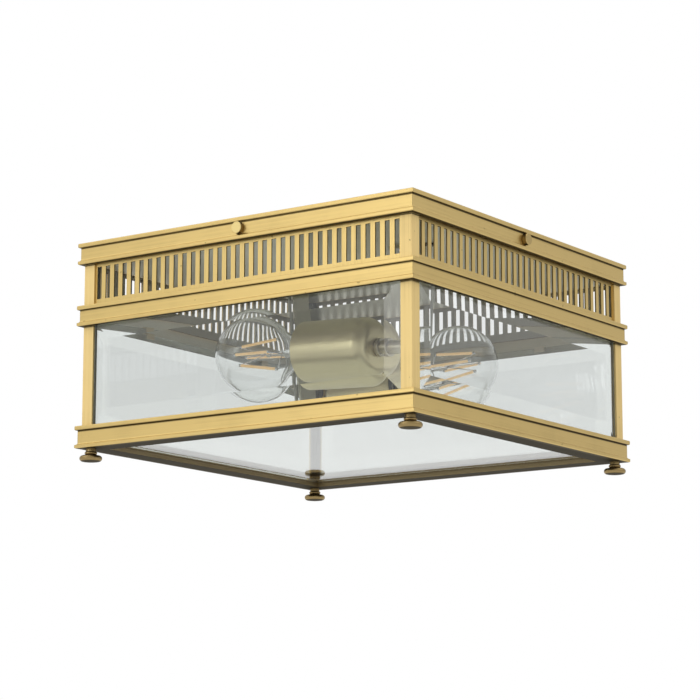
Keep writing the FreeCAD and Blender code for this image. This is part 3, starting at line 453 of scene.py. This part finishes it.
@dataclass(frozen=True)
class ClearGlass:
    """Clear polished glass that lets lamp light through.

    A pane is clearer in its thin bevels, which start that many millimetres from its middle, and its
    ends are ground. Bevel levels are the heights between which an upright pane is flat.
    """

    name: str
    colour: Colour
    bevel: Colour = WHITE
    bevel_start: float = 0.0
    bevel_levels: tuple[float, ...] = ()

    INDEX = 1.5
    HAZE_WAVES, HAZE_SHARE, HAZE_TONE = 9.0, 0.12, 0.97
    GROUND = (0.250, 0.270, 0.255)
    GROUND_START = 139.5
    SOFTNESS = 0.2 * MM

    def beyond(self, sheet: FinishSheet, start: float) -> Tone:
        """Where a pane is past a distance from its middle, along itself.

        Args:
            sheet: The material's sheet.
            start: The distance, in millimetres.

        Returns:
            1 beyond it, 0 before it.
        """
        x, y, _ = sheet.place()
        reach = abs(x).lesser(abs(y)) if self.bevel_levels else abs(x).either(abs(y))
        return reach.past(start * MM, self.SOFTNESS)

    def facets(self, sheet: FinishSheet) -> Tone:
        """Where a pane's bevels are.

        Args:
            sheet: The material's sheet.

        Returns:
            1 on a bevel, 0 on the flat middle.
        """
        sides = self.beyond(sheet, self.bevel_start)
        if not self.bevel_levels:
            return sides
        _, _, height = sheet.place()
        low, high = (height.past(level * MM, self.SOFTNESS) for level in self.bevel_levels)
        return sides.either(high).either(1.0 - low)

    def material(self) -> bpy.types.Material:
        """Makes the material.

        Returns:
            Refracting glass, see-through to shadow and diffuse rays.
        """
        sheet = new_sheet(self.name)
        haze = sheet.noise(self.HAZE_WAVES, 1.0)
        colour = sheet.blend(haze * self.HAZE_SHARE, self.colour, dimmed(self.colour, self.HAZE_TONE))
        if self.bevel_start:
            colour = sheet.blend(self.facets(sheet), colour, self.bevel)
        glass = sheet.node("ShaderNodeBsdfPrincipled", inputs={
            "Base Color": colour, "Roughness": 0.0, "IOR": self.INDEX, "Transmission Weight": 1.0})
        if self.bevel_start:
            ground = sheet.node("ShaderNodeBsdfDiffuse", inputs={"Color": (*self.GROUND, 1.0)})
            glass = sheet.mixed(self.beyond(sheet, self.GROUND_START), glass, ground)
        clear = sheet.node("ShaderNodeBsdfTransparent", inputs={"Color": (*self.colour, 1.0)})
        path = sheet.node("ShaderNodeLightPath").outputs
        passing = sheet.tone(path["Is Shadow Ray"]).either(path["Is Diffuse Ray"])
        return sheet.surface(sheet.mixed(passing, glass, clear))


@dataclass(frozen=True)
class Moulding:
    """Moulded plastic, rubber or glazed filament coating with a slightly uneven skin."""

    name: str
    colour: Colour
    roughness: float
    texture: float = 700.0
    glow: float = 0.0

    MOTTLE_SHARE, MOTTLE_TONE, MOTTLE_ROUGH = 0.40, 0.75, 0.15
    RELIEF = 0.03 * MM

    def material(self) -> bpy.types.Material:
        """Makes the material.

        Returns:
            A skin with a fine mottled tone, gloss and relief, and a faint painted glow in its own colour
            where one is set.
        """
        sheet = new_sheet(self.name)
        skin = sheet.noise(self.texture)
        mottled = sheet.blend(skin * self.MOTTLE_SHARE, self.colour, dimmed(self.colour, self.MOTTLE_TONE))
        return sheet.surface(sheet.node("ShaderNodeBsdfPrincipled", inputs={
            "Base Color": mottled, "Roughness": self.roughness + skin.swing(self.MOTTLE_ROUGH),
            "Emission Color": (*self.colour, 1.0), "Emission Strength": self.glow,
            "Normal": sheet.bump(skin, self.RELIEF)}))


class Palette:
    """All finishes of the lantern, made once.

    Its levels are heights and its limits are distances out from the lantern's middle, both in
    millimetres.
    """

    # heights of the painted shade lines under the lips
    RAIL_SHADE_LINES = (-3.6, -16.9, -51.8, -64.4, -143.6)
    POST_SHADE_LINES = (-16.9, -64.4)
    RAIL_INNER = 148.58
    POST_INNER = 146.9
    SLOT_WALLS = 146.7
    GALLERY_INNER = 145.8
    KNOB_INNER = 154.0
    PAN_SKIRT = 139.0
    BEVEL_START = 124.8
    SIDE_PANE_FLAT = (-127.8, -75.0)

    def __init__(self) -> None:
        """Makes every material."""
        # inner faces are grey; painted light makes the side rails' inner grey lighter than the front and
        # back
        self.rail_across, self.rail_along = (
            BrushedBrass(name, grain, zones=((self.RAIL_INNER, inner),), shade_line_levels=self.RAIL_SHADE_LINES,
                         mitred=True).material()
            for name, grain, inner in (
                ("brass_rails_front_back", Grain.ALONG_X, (0.680, 0.635, 0.480)),
                ("brass_rails_sides", Grain.ALONG_Y, (0.880, 0.870, 0.790))))
        gallery_inner = (0.570, 0.540, 0.460)
        # painted shade on the slots' sides: deep on the front and back panels, lighter on the side panels
        self.panel_across, self.panel_light_slot_shade = (
            BrushedBrass(name, Grain.ALONG_Z, zones=((self.SLOT_WALLS, wall_shade),
                                                     (self.GALLERY_INNER, gallery_inner))).material()
            for name, wall_shade in (("brass_gallery_front_back", (0.075, 0.050, 0.018)),
                                ("brass_gallery_sides", (0.300, 0.215, 0.085))))
        # inner edges: a dark grey that is partly their own tone and partly painted shade beside the panes
        # painted sheen: the posts are lighter brass than the rails, standing in for their brushed sheen
        self.upright = BrushedBrass("brass_posts", Grain.ALONG_Z, colour=(0.900, 0.700, 0.325),
                                    zones=((self.POST_INNER, (0.270, 0.275, 0.245)),), roughness=0.60,
                                    shade_line_levels=self.POST_SHADE_LINES).material()
        self.turned = BrushedBrass("brass_turned", colour=(0.360, 0.260, 0.115),
                                   roughness=0.40).material()
        # painted light: knob faces are lighter on the front and back, darker on the sides
        # painted shade on the knobs' sides and necks
        self.knob_across, self.knob_shaded_sides = (
            BrushedBrass(name, colour=face, zones=((self.KNOB_INNER, (0.300, 0.215, 0.090)),),
                         roughness=0.32).material()
            for name, face in (("brass_thumbscrews_front_back", (0.800, 0.630, 0.270)),
                               ("brass_thumbscrews_sides", (0.560, 0.410, 0.165))))
        self.cup = SatinMetal("brass_cups", (0.745, 0.655, 0.405), 0.38).material()
        self.tube = SatinMetal("lamp_tube_metal", (0.560, 0.510, 0.400), 0.36).material()
        self.reflector = SatinMetal("satin_reflector", (0.575, 0.560, 0.440), 0.38, 0.01 * MM,
                                    (self.PAN_SKIRT, (0.780, 0.690, 0.510))).material()
        self.zinc = SatinMetal("zinc_plate", (0.560, 0.570, 0.580), 0.35).material()
        self.nickel = SatinMetal("bulb_cap_nickel", (0.720, 0.715, 0.690), 0.22).material()
        self.contact = SatinMetal("contact_brass", (0.700, 0.500, 0.200), 0.30).material()
        self.pane = ClearGlass("pane_glass", (0.818, 0.838, 0.830), (0.875, 0.897, 0.885),
                               self.BEVEL_START, self.SIDE_PANE_FLAT).material()
        self.floor_pane = ClearGlass("floor_glass", (0.755, 0.795, 0.770), (0.790, 0.830, 0.805),
                                     self.BEVEL_START).material()
        self.bulb = ClearGlass("bulb_glass", (0.985, 0.990, 0.988)).material()
        # painted glow: the filaments shine faintly though the bulbs are off
        self.amber = Moulding("amber_filament", (1.000, 0.660, 0.310), 0.35, 1500.0, 0.42).material()
        self.moulded = Moulding("grey_moulding", (0.110, 0.108, 0.100), 0.45).material()
        self.rubber = Moulding("grommet_rubber", (0.025, 0.025, 0.025), 0.70).material()
        self.sleeve = Moulding("wire_sleeve", (0.620, 0.600, 0.540), 0.65, 1800.0).material()
        self.block = Moulding("terminal_plastic", (0.720, 0.720, 0.690), 0.45).material()

    def of_nodes(self) -> dict[str, bpy.types.Material]:
        """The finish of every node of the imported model.

        Returns:
            Node name to material.
        """
        finishes = {"floor_pane": self.floor_pane, "corner_feet": self.turned, "pane_clips": self.reflector,
                    "crossbar": self.zinc, "ceiling_pan": self.reflector, "pan_studs": self.zinc,
                    "dome_nuts": self.reflector, "terminal_block": self.block,
                    "earth_terminal": self.contact, "wire_grommets": self.rubber,
                    "bracket_screws": self.zinc, "tube_nuts": self.tube, "holder_contacts": self.contact}
        for side in SIDES:
            rail, panel, knob = ((self.rail_across, self.panel_across, self.knob_across)
                                 if side in ("front", "back")
                                 else (self.rail_along, self.panel_light_slot_shade, self.knob_shaded_sides))
            for piece in ("cornice_rail", "middle_rail", "base_rail"):
                finishes[f"{piece}_{side}"] = rail
            finishes[f"gallery_panel_{side}"] = panel
            finishes[f"side_pane_{side}"] = self.pane
            finishes[f"thumbscrew_{side}"] = knob
        for corner in CORNERS:
            finishes[f"corner_post_{corner}"] = self.upright
        for lamp in LampEnd:
            finishes.update({
                f"lamp_bracket_{lamp.value}": self.reflector, f"lamp_tube_{lamp.value}": self.tube,
                f"lamp_cup_{lamp.value}": self.cup, f"lampholder_{lamp.value}": self.moulded,
                f"lamp_wire_{lamp.value}": self.sleeve, f"bulb_glass_{lamp.value}": self.bulb,
                f"bulb_cap_{lamp.value}": self.nickel, f"bulb_stem_{lamp.value}": self.bulb,
                f"bulb_filaments_{lamp.value}": self.amber})
        return finishes

    def dress(self, nodes: Mapping[str, bpy.types.Object]) -> None:
        """Gives every node its finish.

        Args:
            nodes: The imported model's nodes by name.
        """
        finishes = self.of_nodes()
        for name, node in nodes.items():
            node.data.materials.clear()
            node.data.materials.append(finishes[name])
            LOG.info("dressed %s in %s", name, finishes[name].name)


# Modelling


MERGE_DISTANCE = 0.004 * MM
TURNED_SMOOTHING = math.radians(35.0)
ROD_SMOOTHING = math.radians(50.0)
ROD_END_ANGLE = math.radians(60.0)
ROD_END_SHARE = 0.45
ROD_SIDES = 12
QUARTER_TURNS = tuple(math.tau * quarter / 4.0 for quarter in range(4))


class LampEnd(Enum):
    """The two lamps, which lie head to tail."""

    FRONT = "front"
    BACK = "back"


@dataclass(frozen=True)
class LampAxis:
    """The line of one lamp: origin at its cup's rim, running towards the bulb."""

    lamp: LampEnd
    rim_along: float = 2.170
    aside: float = 60.4
    drop: float = 85.9
    tilt: float = math.radians(3.0)

    @property
    def side(self) -> float:
        """1 for the front lamp, -1 for the back one, which is turned half round."""
        return 1.0 if self.lamp is LampEnd.FRONT else -1.0

    @property
    def origin(self) -> Vector:
        """Centre of the cup's rim, in metres."""
        return Vector((-self.side * self.rim_along, -self.side * self.aside, -self.drop)) * MM

    @property
    def along(self) -> Vector:
        """Direction of the bulb."""
        return Vector((-self.side * math.cos(self.tilt), 0.0, math.sin(self.tilt)))

    @property
    def across(self) -> Vector:
        """Upward direction square to the lamp."""
        return Vector((self.side * math.sin(self.tilt), 0.0, math.cos(self.tilt)))

    def point(self, radius: float, reach: float, angle: float = 0.0) -> Vector:
        """A point round the lamp's axis.

        Args:
            radius: Distance from the axis, in millimetres.
            reach: Distance along it, in millimetres.
            angle: Turn round it, in radians.

        Returns:
            The point in metres.
        """
        spoke = Matrix.Rotation(angle, 3, self.along) @ self.across
        return self.origin + spoke * (radius * MM) + self.along * (reach * MM)


def arc(centre: Pair, radius: float, start: float, end: float, steps: int) -> list[Pair]:
    """Points along a round stretch of a profile.

    Args:
        centre: Centre as (radius, reach), in millimetres.
        radius: Radius of the stretch.
        start: First angle in degrees; 0 points away from the axis and 90 along it.
        end: Last angle in degrees.
        steps: Number of steps.

    Returns:
        The points, both ends included.
    """
    turns = (math.radians(start + (end - start) * step / steps) for step in range(steps + 1))
    return [(centre[0] + radius * math.cos(turn), centre[1] + radius * math.sin(turn)) for turn in turns]


def clear_selection() -> None:
    """Leaves nothing selected."""
    if bpy.context.object and bpy.context.object.mode != "OBJECT":
        bpy.ops.object.mode_set(mode="OBJECT")
    bpy.ops.object.select_all(action="DESELECT")


def lathe(name: str, axis: LampAxis, profile: Sequence[Pair], steps: int,
          closed: bool) -> bpy.types.Object:
    """Turns a profile round a lamp's axis.

    Args:
        name: Name of the new object.
        axis: The axis to turn round.
        profile: Points as (radius, reach), in millimetres.
        steps: Steps round the axis.
        closed: Whether the last point joins the first.

    Returns:
        The turned piece.
    """
    clear_selection()
    points = [axis.point(radius, reach) for radius, reach in profile]
    if closed:
        points.append(points[0])
    bpy.ops.mesh.primitive_plane_add(size=MM, location=points[0])
    piece = bpy.context.object
    piece.name = name
    bpy.ops.object.transform_apply(location=True, rotation=True, scale=True)
    bpy.ops.object.mode_set(mode="EDIT")
    bpy.ops.mesh.select_all(action="SELECT")
    bpy.ops.mesh.merge(type="CENTER")
    for before, after in zip(points, points[1:]):
        bpy.ops.mesh.extrude_region_move(TRANSFORM_OT_translate={"value": after - before})
    bpy.ops.mesh.select_all(action="SELECT")
    bpy.ops.mesh.spin(steps=steps, angle=math.tau, center=axis.origin, axis=axis.along)
    bpy.ops.mesh.select_all(action="SELECT")
    bpy.ops.mesh.remove_doubles(threshold=MERGE_DISTANCE)
    bpy.ops.mesh.normals_make_consistent(inside=False)
    bpy.ops.object.mode_set(mode="OBJECT")
    bpy.ops.object.shade_smooth_by_angle(angle=TURNED_SMOOTHING)
    return piece


@dataclass
class Bulb:
    """A clear globe bulb with a stem, four amber filaments and a rolled screw cap.

    Sizes are in millimetres. A reach runs from the cup's rim towards the bulb, and a pair is a point
    as (radius, reach).
    """

    axis: LampAxis
    palette: Palette
    globe_radius: float = 30.5
    globe_reach: float = 49.0
    join_angle: float = 43.8
    neck_radius: float = 12.4
    neck_start: float = -8.0
    neck_end: float = 4.0
    shoulder_round: float = 34.5
    wall: float = 1.0
    globe_steps: int = 34
    shoulder_steps: int = 10
    glass_sides: int = 96
    stem_sides: int = 32
    cap_radius: float = 13.2
    cap_end: float = 3.0
    cap_start: float = -19.0
    cap_foot: float = -22.0
    cap_play: float = 0.1
    cap_sides: int = 64
    thread_turns: int = 4
    thread_steps: int = 8
    thread_start: float = -17.6
    thread_end: float = 0.4
    thread_inset: float = 0.55
    thread_wave: float = 0.5
    filament_radius: float = 1.1
    filament_low: Pair = (11.5, 27.0)
    filament_high: Pair = (7.0, 64.0)
    sleeve_length: float = 2.4
    sleeve_wall: float = 0.12
    wire_radius: float = 0.4
    arm_root: Pair = (1.6, 24.0)
    stay_root: Pair = (0.0, 37.5)
    lead_route: tuple[Pair, Pair, Pair] = ((3.6, 2.0), (3.4, 14.0), (1.7, 24.0))

    def shoulder(self, start: Pair, end: Pair) -> list[Pair]:
        """Points of the neck's flare, a hollow curve between two points.

        Args:
            start: Where the straight neck ends.
            end: Where the globe begins.

        Returns:
            The points between the two ends, both left out.
        """
        first, last = Vector((*start, 0.0)), Vector((*end, 0.0))
        chord = last - first
        middle = (first + last) / 2.0
        outward = Vector((chord.y, -chord.x, 0.0)).normalized()
        radius = self.shoulder_round
        centre = middle + outward * math.sqrt(radius * radius - chord.length_squared / 4.0)
        points = []
        for step in range(1, self.shoulder_steps):
            spoke = (first + chord * (step / self.shoulder_steps) - centre).normalized()
            spot = centre + spoke * radius
            points.append((spot.x, spot.y))
        return points

    def envelope(self) -> bpy.types.Object:
        """Makes the glass with its wall.

        Returns:
            Neck, flare and globe in one piece.
        """
        outside = self._skin(self.globe_radius, self.neck_radius)
        inside = self._skin(self.globe_radius - self.wall, self.neck_radius - self.wall)
        return lathe(f"bulb_envelope_{self.axis.lamp.value}", self.axis,
                     outside + list(reversed(inside)), self.glass_sides, closed=True)

    def _skin(self, globe: float, neck: float) -> list[Pair]:
        """One skin of the glass.

        Args:
            globe: The globe's radius in this skin.
            neck: The neck's radius in it.

        Returns:
            Its points from the neck's foot to the globe's pole.
        """
        turn = math.radians(self.join_angle)
        join = (globe * math.cos(turn), self.globe_reach - globe * math.sin(turn))
        return ([(neck, self.neck_start), (neck, self.neck_end)]
                + self.shoulder((neck, self.neck_end), join)
                + arc((0.0, self.globe_reach), globe, -self.join_angle, 90.0, self.globe_steps))

    def stem(self) -> bpy.types.Object:
        """Makes the glass stem.

        Returns:
            Flared foot, slim column and a rounded knob at its end, in one piece.
        """
        foot = [(0.0, -7.9), (8.0, -7.9), (7.2, -5.0), (5.4, 0.0), (4.0, 6.0), (3.2, 12.0), (2.2, 16.0)]
        column = [(1.7, 22.0), (1.7, 34.0)]
        knob = arc((0.0, 36.0), 2.4, -40.0, 90.0, 6)
        return lathe(f"bulb_stem_glass_{self.axis.lamp.value}", self.axis, foot + column + knob,
                     self.stem_sides, closed=False)

    def rod(self, name: str, start: Vector, end: Vector, radius: float) -> bpy.types.Object:
        """A slim rod between two points.

        Args:
            name: Name of the rod.
            start: One end, in metres.
            end: Other end, in metres.
            radius: Radius in millimetres.

        Returns:
            The rod with softened ends.
        """
        clear_selection()
        run = end - start
        bpy.ops.mesh.primitive_cylinder_add(vertices=ROD_SIDES, radius=radius * MM, depth=run.length,
                                            location=(start + end) / 2.0,
                                            rotation=run.to_track_quat("Z", "Y").to_euler())
        piece = bpy.context.object
        piece.name = name
        bpy.ops.object.transform_apply(location=True, rotation=True, scale=True)
        rounding = piece.modifiers.new("ends", "BEVEL")
        rounding.width = radius * MM * ROD_END_SHARE
        rounding.segments = 2
        rounding.angle_limit = ROD_END_ANGLE
        bpy.ops.object.modifier_apply(modifier=rounding.name)
        bpy.ops.object.shade_smooth_by_angle(angle=ROD_SMOOTHING)
        return piece

    @staticmethod
    def joined(name: str, members: Sequence[bpy.types.Object]) -> bpy.types.Object:
        """Joins several objects into one.

        Args:
            name: Name of the joined object.
            members: The objects; the first one takes in the others.

        Returns:
            The joined object.
        """
        clear_selection()
        for member in members:
            member.select_set(True)
        bpy.context.view_layer.objects.active = members[0]
        bpy.ops.object.join()
        members[0].name = name
        return members[0]

    def filament_ends(self, turn: float) -> tuple[Vector, Vector]:
        """The low and the high end of the filament at that turn."""
        return self.axis.point(*self.filament_low, turn), self.axis.point(*self.filament_high, turn)

    def filaments(self) -> bpy.types.Object:
        """The four coated rods, each set a quarter turn on and leaning the same way."""
        rods = [self.rod(f"filament_{quarter}", *self.filament_ends(turn), self.filament_radius)
                for quarter, turn in enumerate(QUARTER_TURNS)]
        return self.joined(f"filament_rods_{self.axis.lamp.value}", rods)

    def wires(self) -> bpy.types.Object:
        """Makes the bright wires that hold the filaments.

        Returns:
            An arm, a stay and two end sleeves for each filament, and two bent leads, joined.
        """
        wires = []
        sleeve = self.filament_radius + self.sleeve_wall
        crown = self.axis.point(*self.stay_root)
        for quarter, turn in enumerate(QUARTER_TURNS):
            low, high = self.filament_ends(turn)
            root = self.axis.point(*self.arm_root, turn)
            inset = (high - low).normalized() * (self.sleeve_length * MM)
            wires += [self.rod(f"arm_{quarter}", root, low, self.wire_radius),
                      self.rod(f"sleeve_low_{quarter}", low, low + inset, sleeve),
                      self.rod(f"sleeve_high_{quarter}", high - inset, high, sleeve),
                      self.rod(f"stay_{quarter}", crown, high, self.wire_radius)]
        for lead, spread in enumerate((0.0, math.pi)):
            foot, bend, tip = (self.axis.point(*spot, spread) for spot in self.lead_route)
            wires += [self.rod(f"lead_low_{lead}", foot, bend, self.wire_radius),
                      self.rod(f"lead_high_{lead}", bend, tip, self.wire_radius)]
        return self.joined(f"filament_wires_{self.axis.lamp.value}", wires)

    def thread(self) -> list[Pair]:
        """The rolled thread in the cap's profile.

        Returns:
            The points of its waves.
        """
        steps = self.thread_turns * self.thread_steps
        middle, rise = self.cap_radius - self.thread_inset, self.thread_end - self.thread_start
        return [(middle + self.thread_wave * math.cos(math.tau * step / self.thread_steps),
                 self.thread_start + rise * step / steps) for step in range(steps + 1)]

    def cap(self) -> bpy.types.Object:
        """Makes the rolled screw cap.

        Returns:
            The cap with its insulated centre contact.
        """
        contact = [(0.0, self.neck_start), (0.0, self.cap_foot), (4.2, self.cap_foot), (4.8, -21.3),
                   (6.0, -20.6), (10.2, self.cap_start), (11.6, -18.2)]
        bore = self.neck_radius + self.cap_play
        collar = [(self.cap_radius - 0.3, 1.4), (self.cap_radius - 0.1, self.cap_end),
                  (bore, self.cap_end), (bore, self.neck_start)]
        return lathe(f"bulb_screw_cap_{self.axis.lamp.value}", self.axis, contact + self.thread() + collar,
                     self.cap_sides, closed=False)

    def build(self) -> None:
        """Makes every piece of the bulb, dresses it and puts it on its body."""
        lamp = self.axis.lamp.value
        envelope, stem, cap = self.envelope(), self.stem(), self.cap()
        rods, wires = self.filaments(), self.wires()
        for piece, finish, slot, nodes in (
                (envelope, self.palette.bulb, "bulb_glass", ["bulb_glass"]),
                (stem, self.palette.bulb, "bulb_glass", ["bulb_stem"]),
                (cap, self.palette.nickel, "cap_metal", ["bulb_cap"]),
                (rods, self.palette.amber, "filament_amber", ["bulb_filaments"]),
                (wires, self.palette.nickel, "cap_metal", [])):
            piece.data.materials.clear()
            piece.data.materials.append(finish)
            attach(piece, f"bulb_{lamp}")
            for node in nodes:
                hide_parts(f"{node}_{lamp}")
            LOG.info("built %s", piece.name)


@dataclass
class LampCup:
    """The spun cup round a lampholder, with a fine rolled rim."""

    axis: LampAxis
    palette: Palette
    radius: float = 23.0
    length: float = 64.0
    sheet: float = 0.9
    shoulder: float = 10.0
    hole: float = 5.1
    rim_start: float = 0.6
    bend_steps: int = 14
    rim_steps: int = 6
    sides: int = 128

    def build(self) -> None:
        """Makes the cup and puts it on the ceiling pan's body."""
        end = -self.length
        bend = (self.radius - self.shoulder, end + self.shoulder)
        rim = self.sheet / 2.0
        profile = ([(self.hole, end), (bend[0], end)]
                   + arc(bend, self.shoulder, -90.0, 0.0, self.bend_steps)[1:]
                   + [(self.radius, -self.rim_start)]
                   + arc((self.radius - rim, -rim), rim, 0.0, 180.0, self.rim_steps)
                   + arc(bend, self.shoulder - self.sheet, 0.0, -90.0, self.bend_steps)
                   + [(self.hole, end + self.sheet)])
        lamp = self.axis.lamp.value
        cup = lathe(f"spun_cup_{lamp}", self.axis, profile, self.sides, closed=True)
        cup.data.materials.clear()
        cup.data.materials.append(self.palette.cup)
        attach(cup, "ceiling_mount")
        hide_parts(f"lamp_cup_{lamp}")
        LOG.info("built %s", cup.name)


# Studio


@dataclass(frozen=True)
class SoftLamp:
    """A square soft lamp: where it stands in metres, its side in metres and its watts."""

    name: str
    place: Triple
    size: float
    power: float

    def hang(self, target: Triple) -> None:
        """Adds the lamp to the scene.

        Args:
            target: The point that it faces, in metres.
        """
        data = bpy.data.lights.new(self.name, "AREA")
        data.size = self.size
        data.energy = self.power
        lamp = bpy.data.objects.new(self.name, data)
        bpy.context.scene.collection.objects.link(lamp)
        lamp.location = self.place
        lamp.rotation_euler = (Vector(target) - Vector(self.place)).to_track_quat("-Z", "Y").to_euler()


@dataclass
class Studio:
    """Camera, floor, backdrop light and lamps."""

    focal_pixels: float = 2471.2
    frame_pixels: float = 700.0
    sensor: float = 36.0
    clip_range: Pair = (0.05, 50.0)
    position: Triple = (1.0651, -1.5349, -0.4226)
    right: Triple = (0.8198, 0.5727, 0.0)
    forward: Triple = (-0.5630, 0.8060, 0.1829)
    floor_level: float = -0.72
    floor_size: float = 14.0
    floor_tone: float = 0.86
    floor_glow: float = 0.75
    daylight: Colour = (0.70, 0.70, 0.70)
    bright_side: Triple = (-0.55, -0.80, 0.25)
    bright_edge: Pair = (-0.45, 0.85)
    bright_level: float = 0.74
    dim_level: float = 0.64
    lantern_middle: Triple = (0.0, 0.0, -0.09)
    lamps: tuple[SoftLamp, ...] = (SoftLamp("key", (-0.9, -1.1, 1.5), 1.8, 7.0),
                                   SoftLamp("front", (-0.75, -2.0, 0.30), 0.6, 2.6),
                                   SoftLamp("fill", (1.4, 0.6, 1.3), 1.6, 6.0))

    def place_camera(self) -> None:
        """Puts the camera where the photograph was taken from."""
        right, forward = Vector(self.right).normalized(), Vector(self.forward).normalized()
        up = right.cross(forward).normalized()
        data = bpy.data.cameras.new("view")
        data.sensor_width = self.sensor
        data.lens = self.focal_pixels / self.frame_pixels * self.sensor
        data.clip_start, data.clip_end = self.clip_range
        camera = bpy.data.objects.new("view", data)
        bpy.context.scene.collection.objects.link(camera)
        turn = Matrix((right, up, -forward)).transposed()
        camera.matrix_world = Matrix.Translation(self.position) @ turn.to_4x4()
        bpy.context.scene.camera = camera

    def light_world(self) -> None:
        """Makes the surround.

        It is white for the eye and through glass and a soft grey as a light. In gloss it is a pale
        grey that falls off a little away from the studio's bright side.
        """
        world = bpy.data.worlds.new("studio")
        bpy.context.scene.world = world
        sheet = FinishSheet(world)
        path = sheet.node("ShaderNodeLightPath").outputs
        way = sheet.node("ShaderNodeTexCoord").outputs["Generated"]
        bright = Vector(self.bright_side).normalized()
        towards = sheet.node("ShaderNodeVectorMath", {"operation": "DOT_PRODUCT"}, {0: way, 1: bright})
        rise = sheet.tone(towards.outputs["Value"]).fade(*self.bright_edge)
        level = rise * (self.bright_level - self.dim_level) + self.dim_level
        gloss = sheet.blend(level, BLACK, WHITE)
        colour = sheet.blend(path["Is Glossy Ray"], self.daylight, gloss)
        seen = sheet.tone(path["Is Camera Ray"]).either(path["Is Transmission Ray"])
        colour = sheet.blend(seen, colour, WHITE)
        back = sheet.node("ShaderNodeBackground", inputs={"Color": colour, "Strength": 1.0})
        sheet.node("ShaderNodeOutputWorld", inputs={"Surface": back.outputs[0]})

    def lay_floor(self) -> None:
        """A wide pale floor below the lantern that keeps its shadow."""
        clear_selection()
        bpy.ops.mesh.primitive_plane_add(size=self.floor_size, location=(0.0, 0.0, self.floor_level))
        floor = bpy.context.object
        floor.name = "studio_floor"
        sheet = new_sheet("pale_floor")
        matt = sheet.node("ShaderNodeBsdfDiffuse", inputs={"Color": (*dimmed(WHITE, self.floor_tone), 1.0)})
        glow = sheet.node("ShaderNodeEmission", inputs={"Color": (*WHITE, 1.0), "Strength": 1.0})
        path = sheet.node("ShaderNodeLightPath").outputs
        seen = sheet.tone(path["Is Camera Ray"]).either(path["Is Glossy Ray"]).either(
            path["Is Transmission Ray"])
        floor.data.materials.append(sheet.surface(sheet.mixed(seen * self.floor_glow, matt, glow)))

    def build(self) -> None:
        """Sets the whole studio."""
        self.place_camera()
        self.light_world()
        self.lay_floor()
        for lamp in self.lamps:
            lamp.hang(self.lantern_middle)
        bpy.context.scene.view_settings.view_transform = "Standard"


def main() -> None:
    """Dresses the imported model, adds its pieces and sets the studio."""
    logging.basicConfig(level=logging.INFO, format="%(name)s: %(message)s")
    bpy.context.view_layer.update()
    palette = Palette()
    palette.dress(frame["nodes"])
    Studio().build()
    for lamp in LampEnd:
        axis = LampAxis(lamp)
        LampCup(axis, palette).build()
        Bulb(axis, palette).build()


if __name__ == "__main__":
    main()
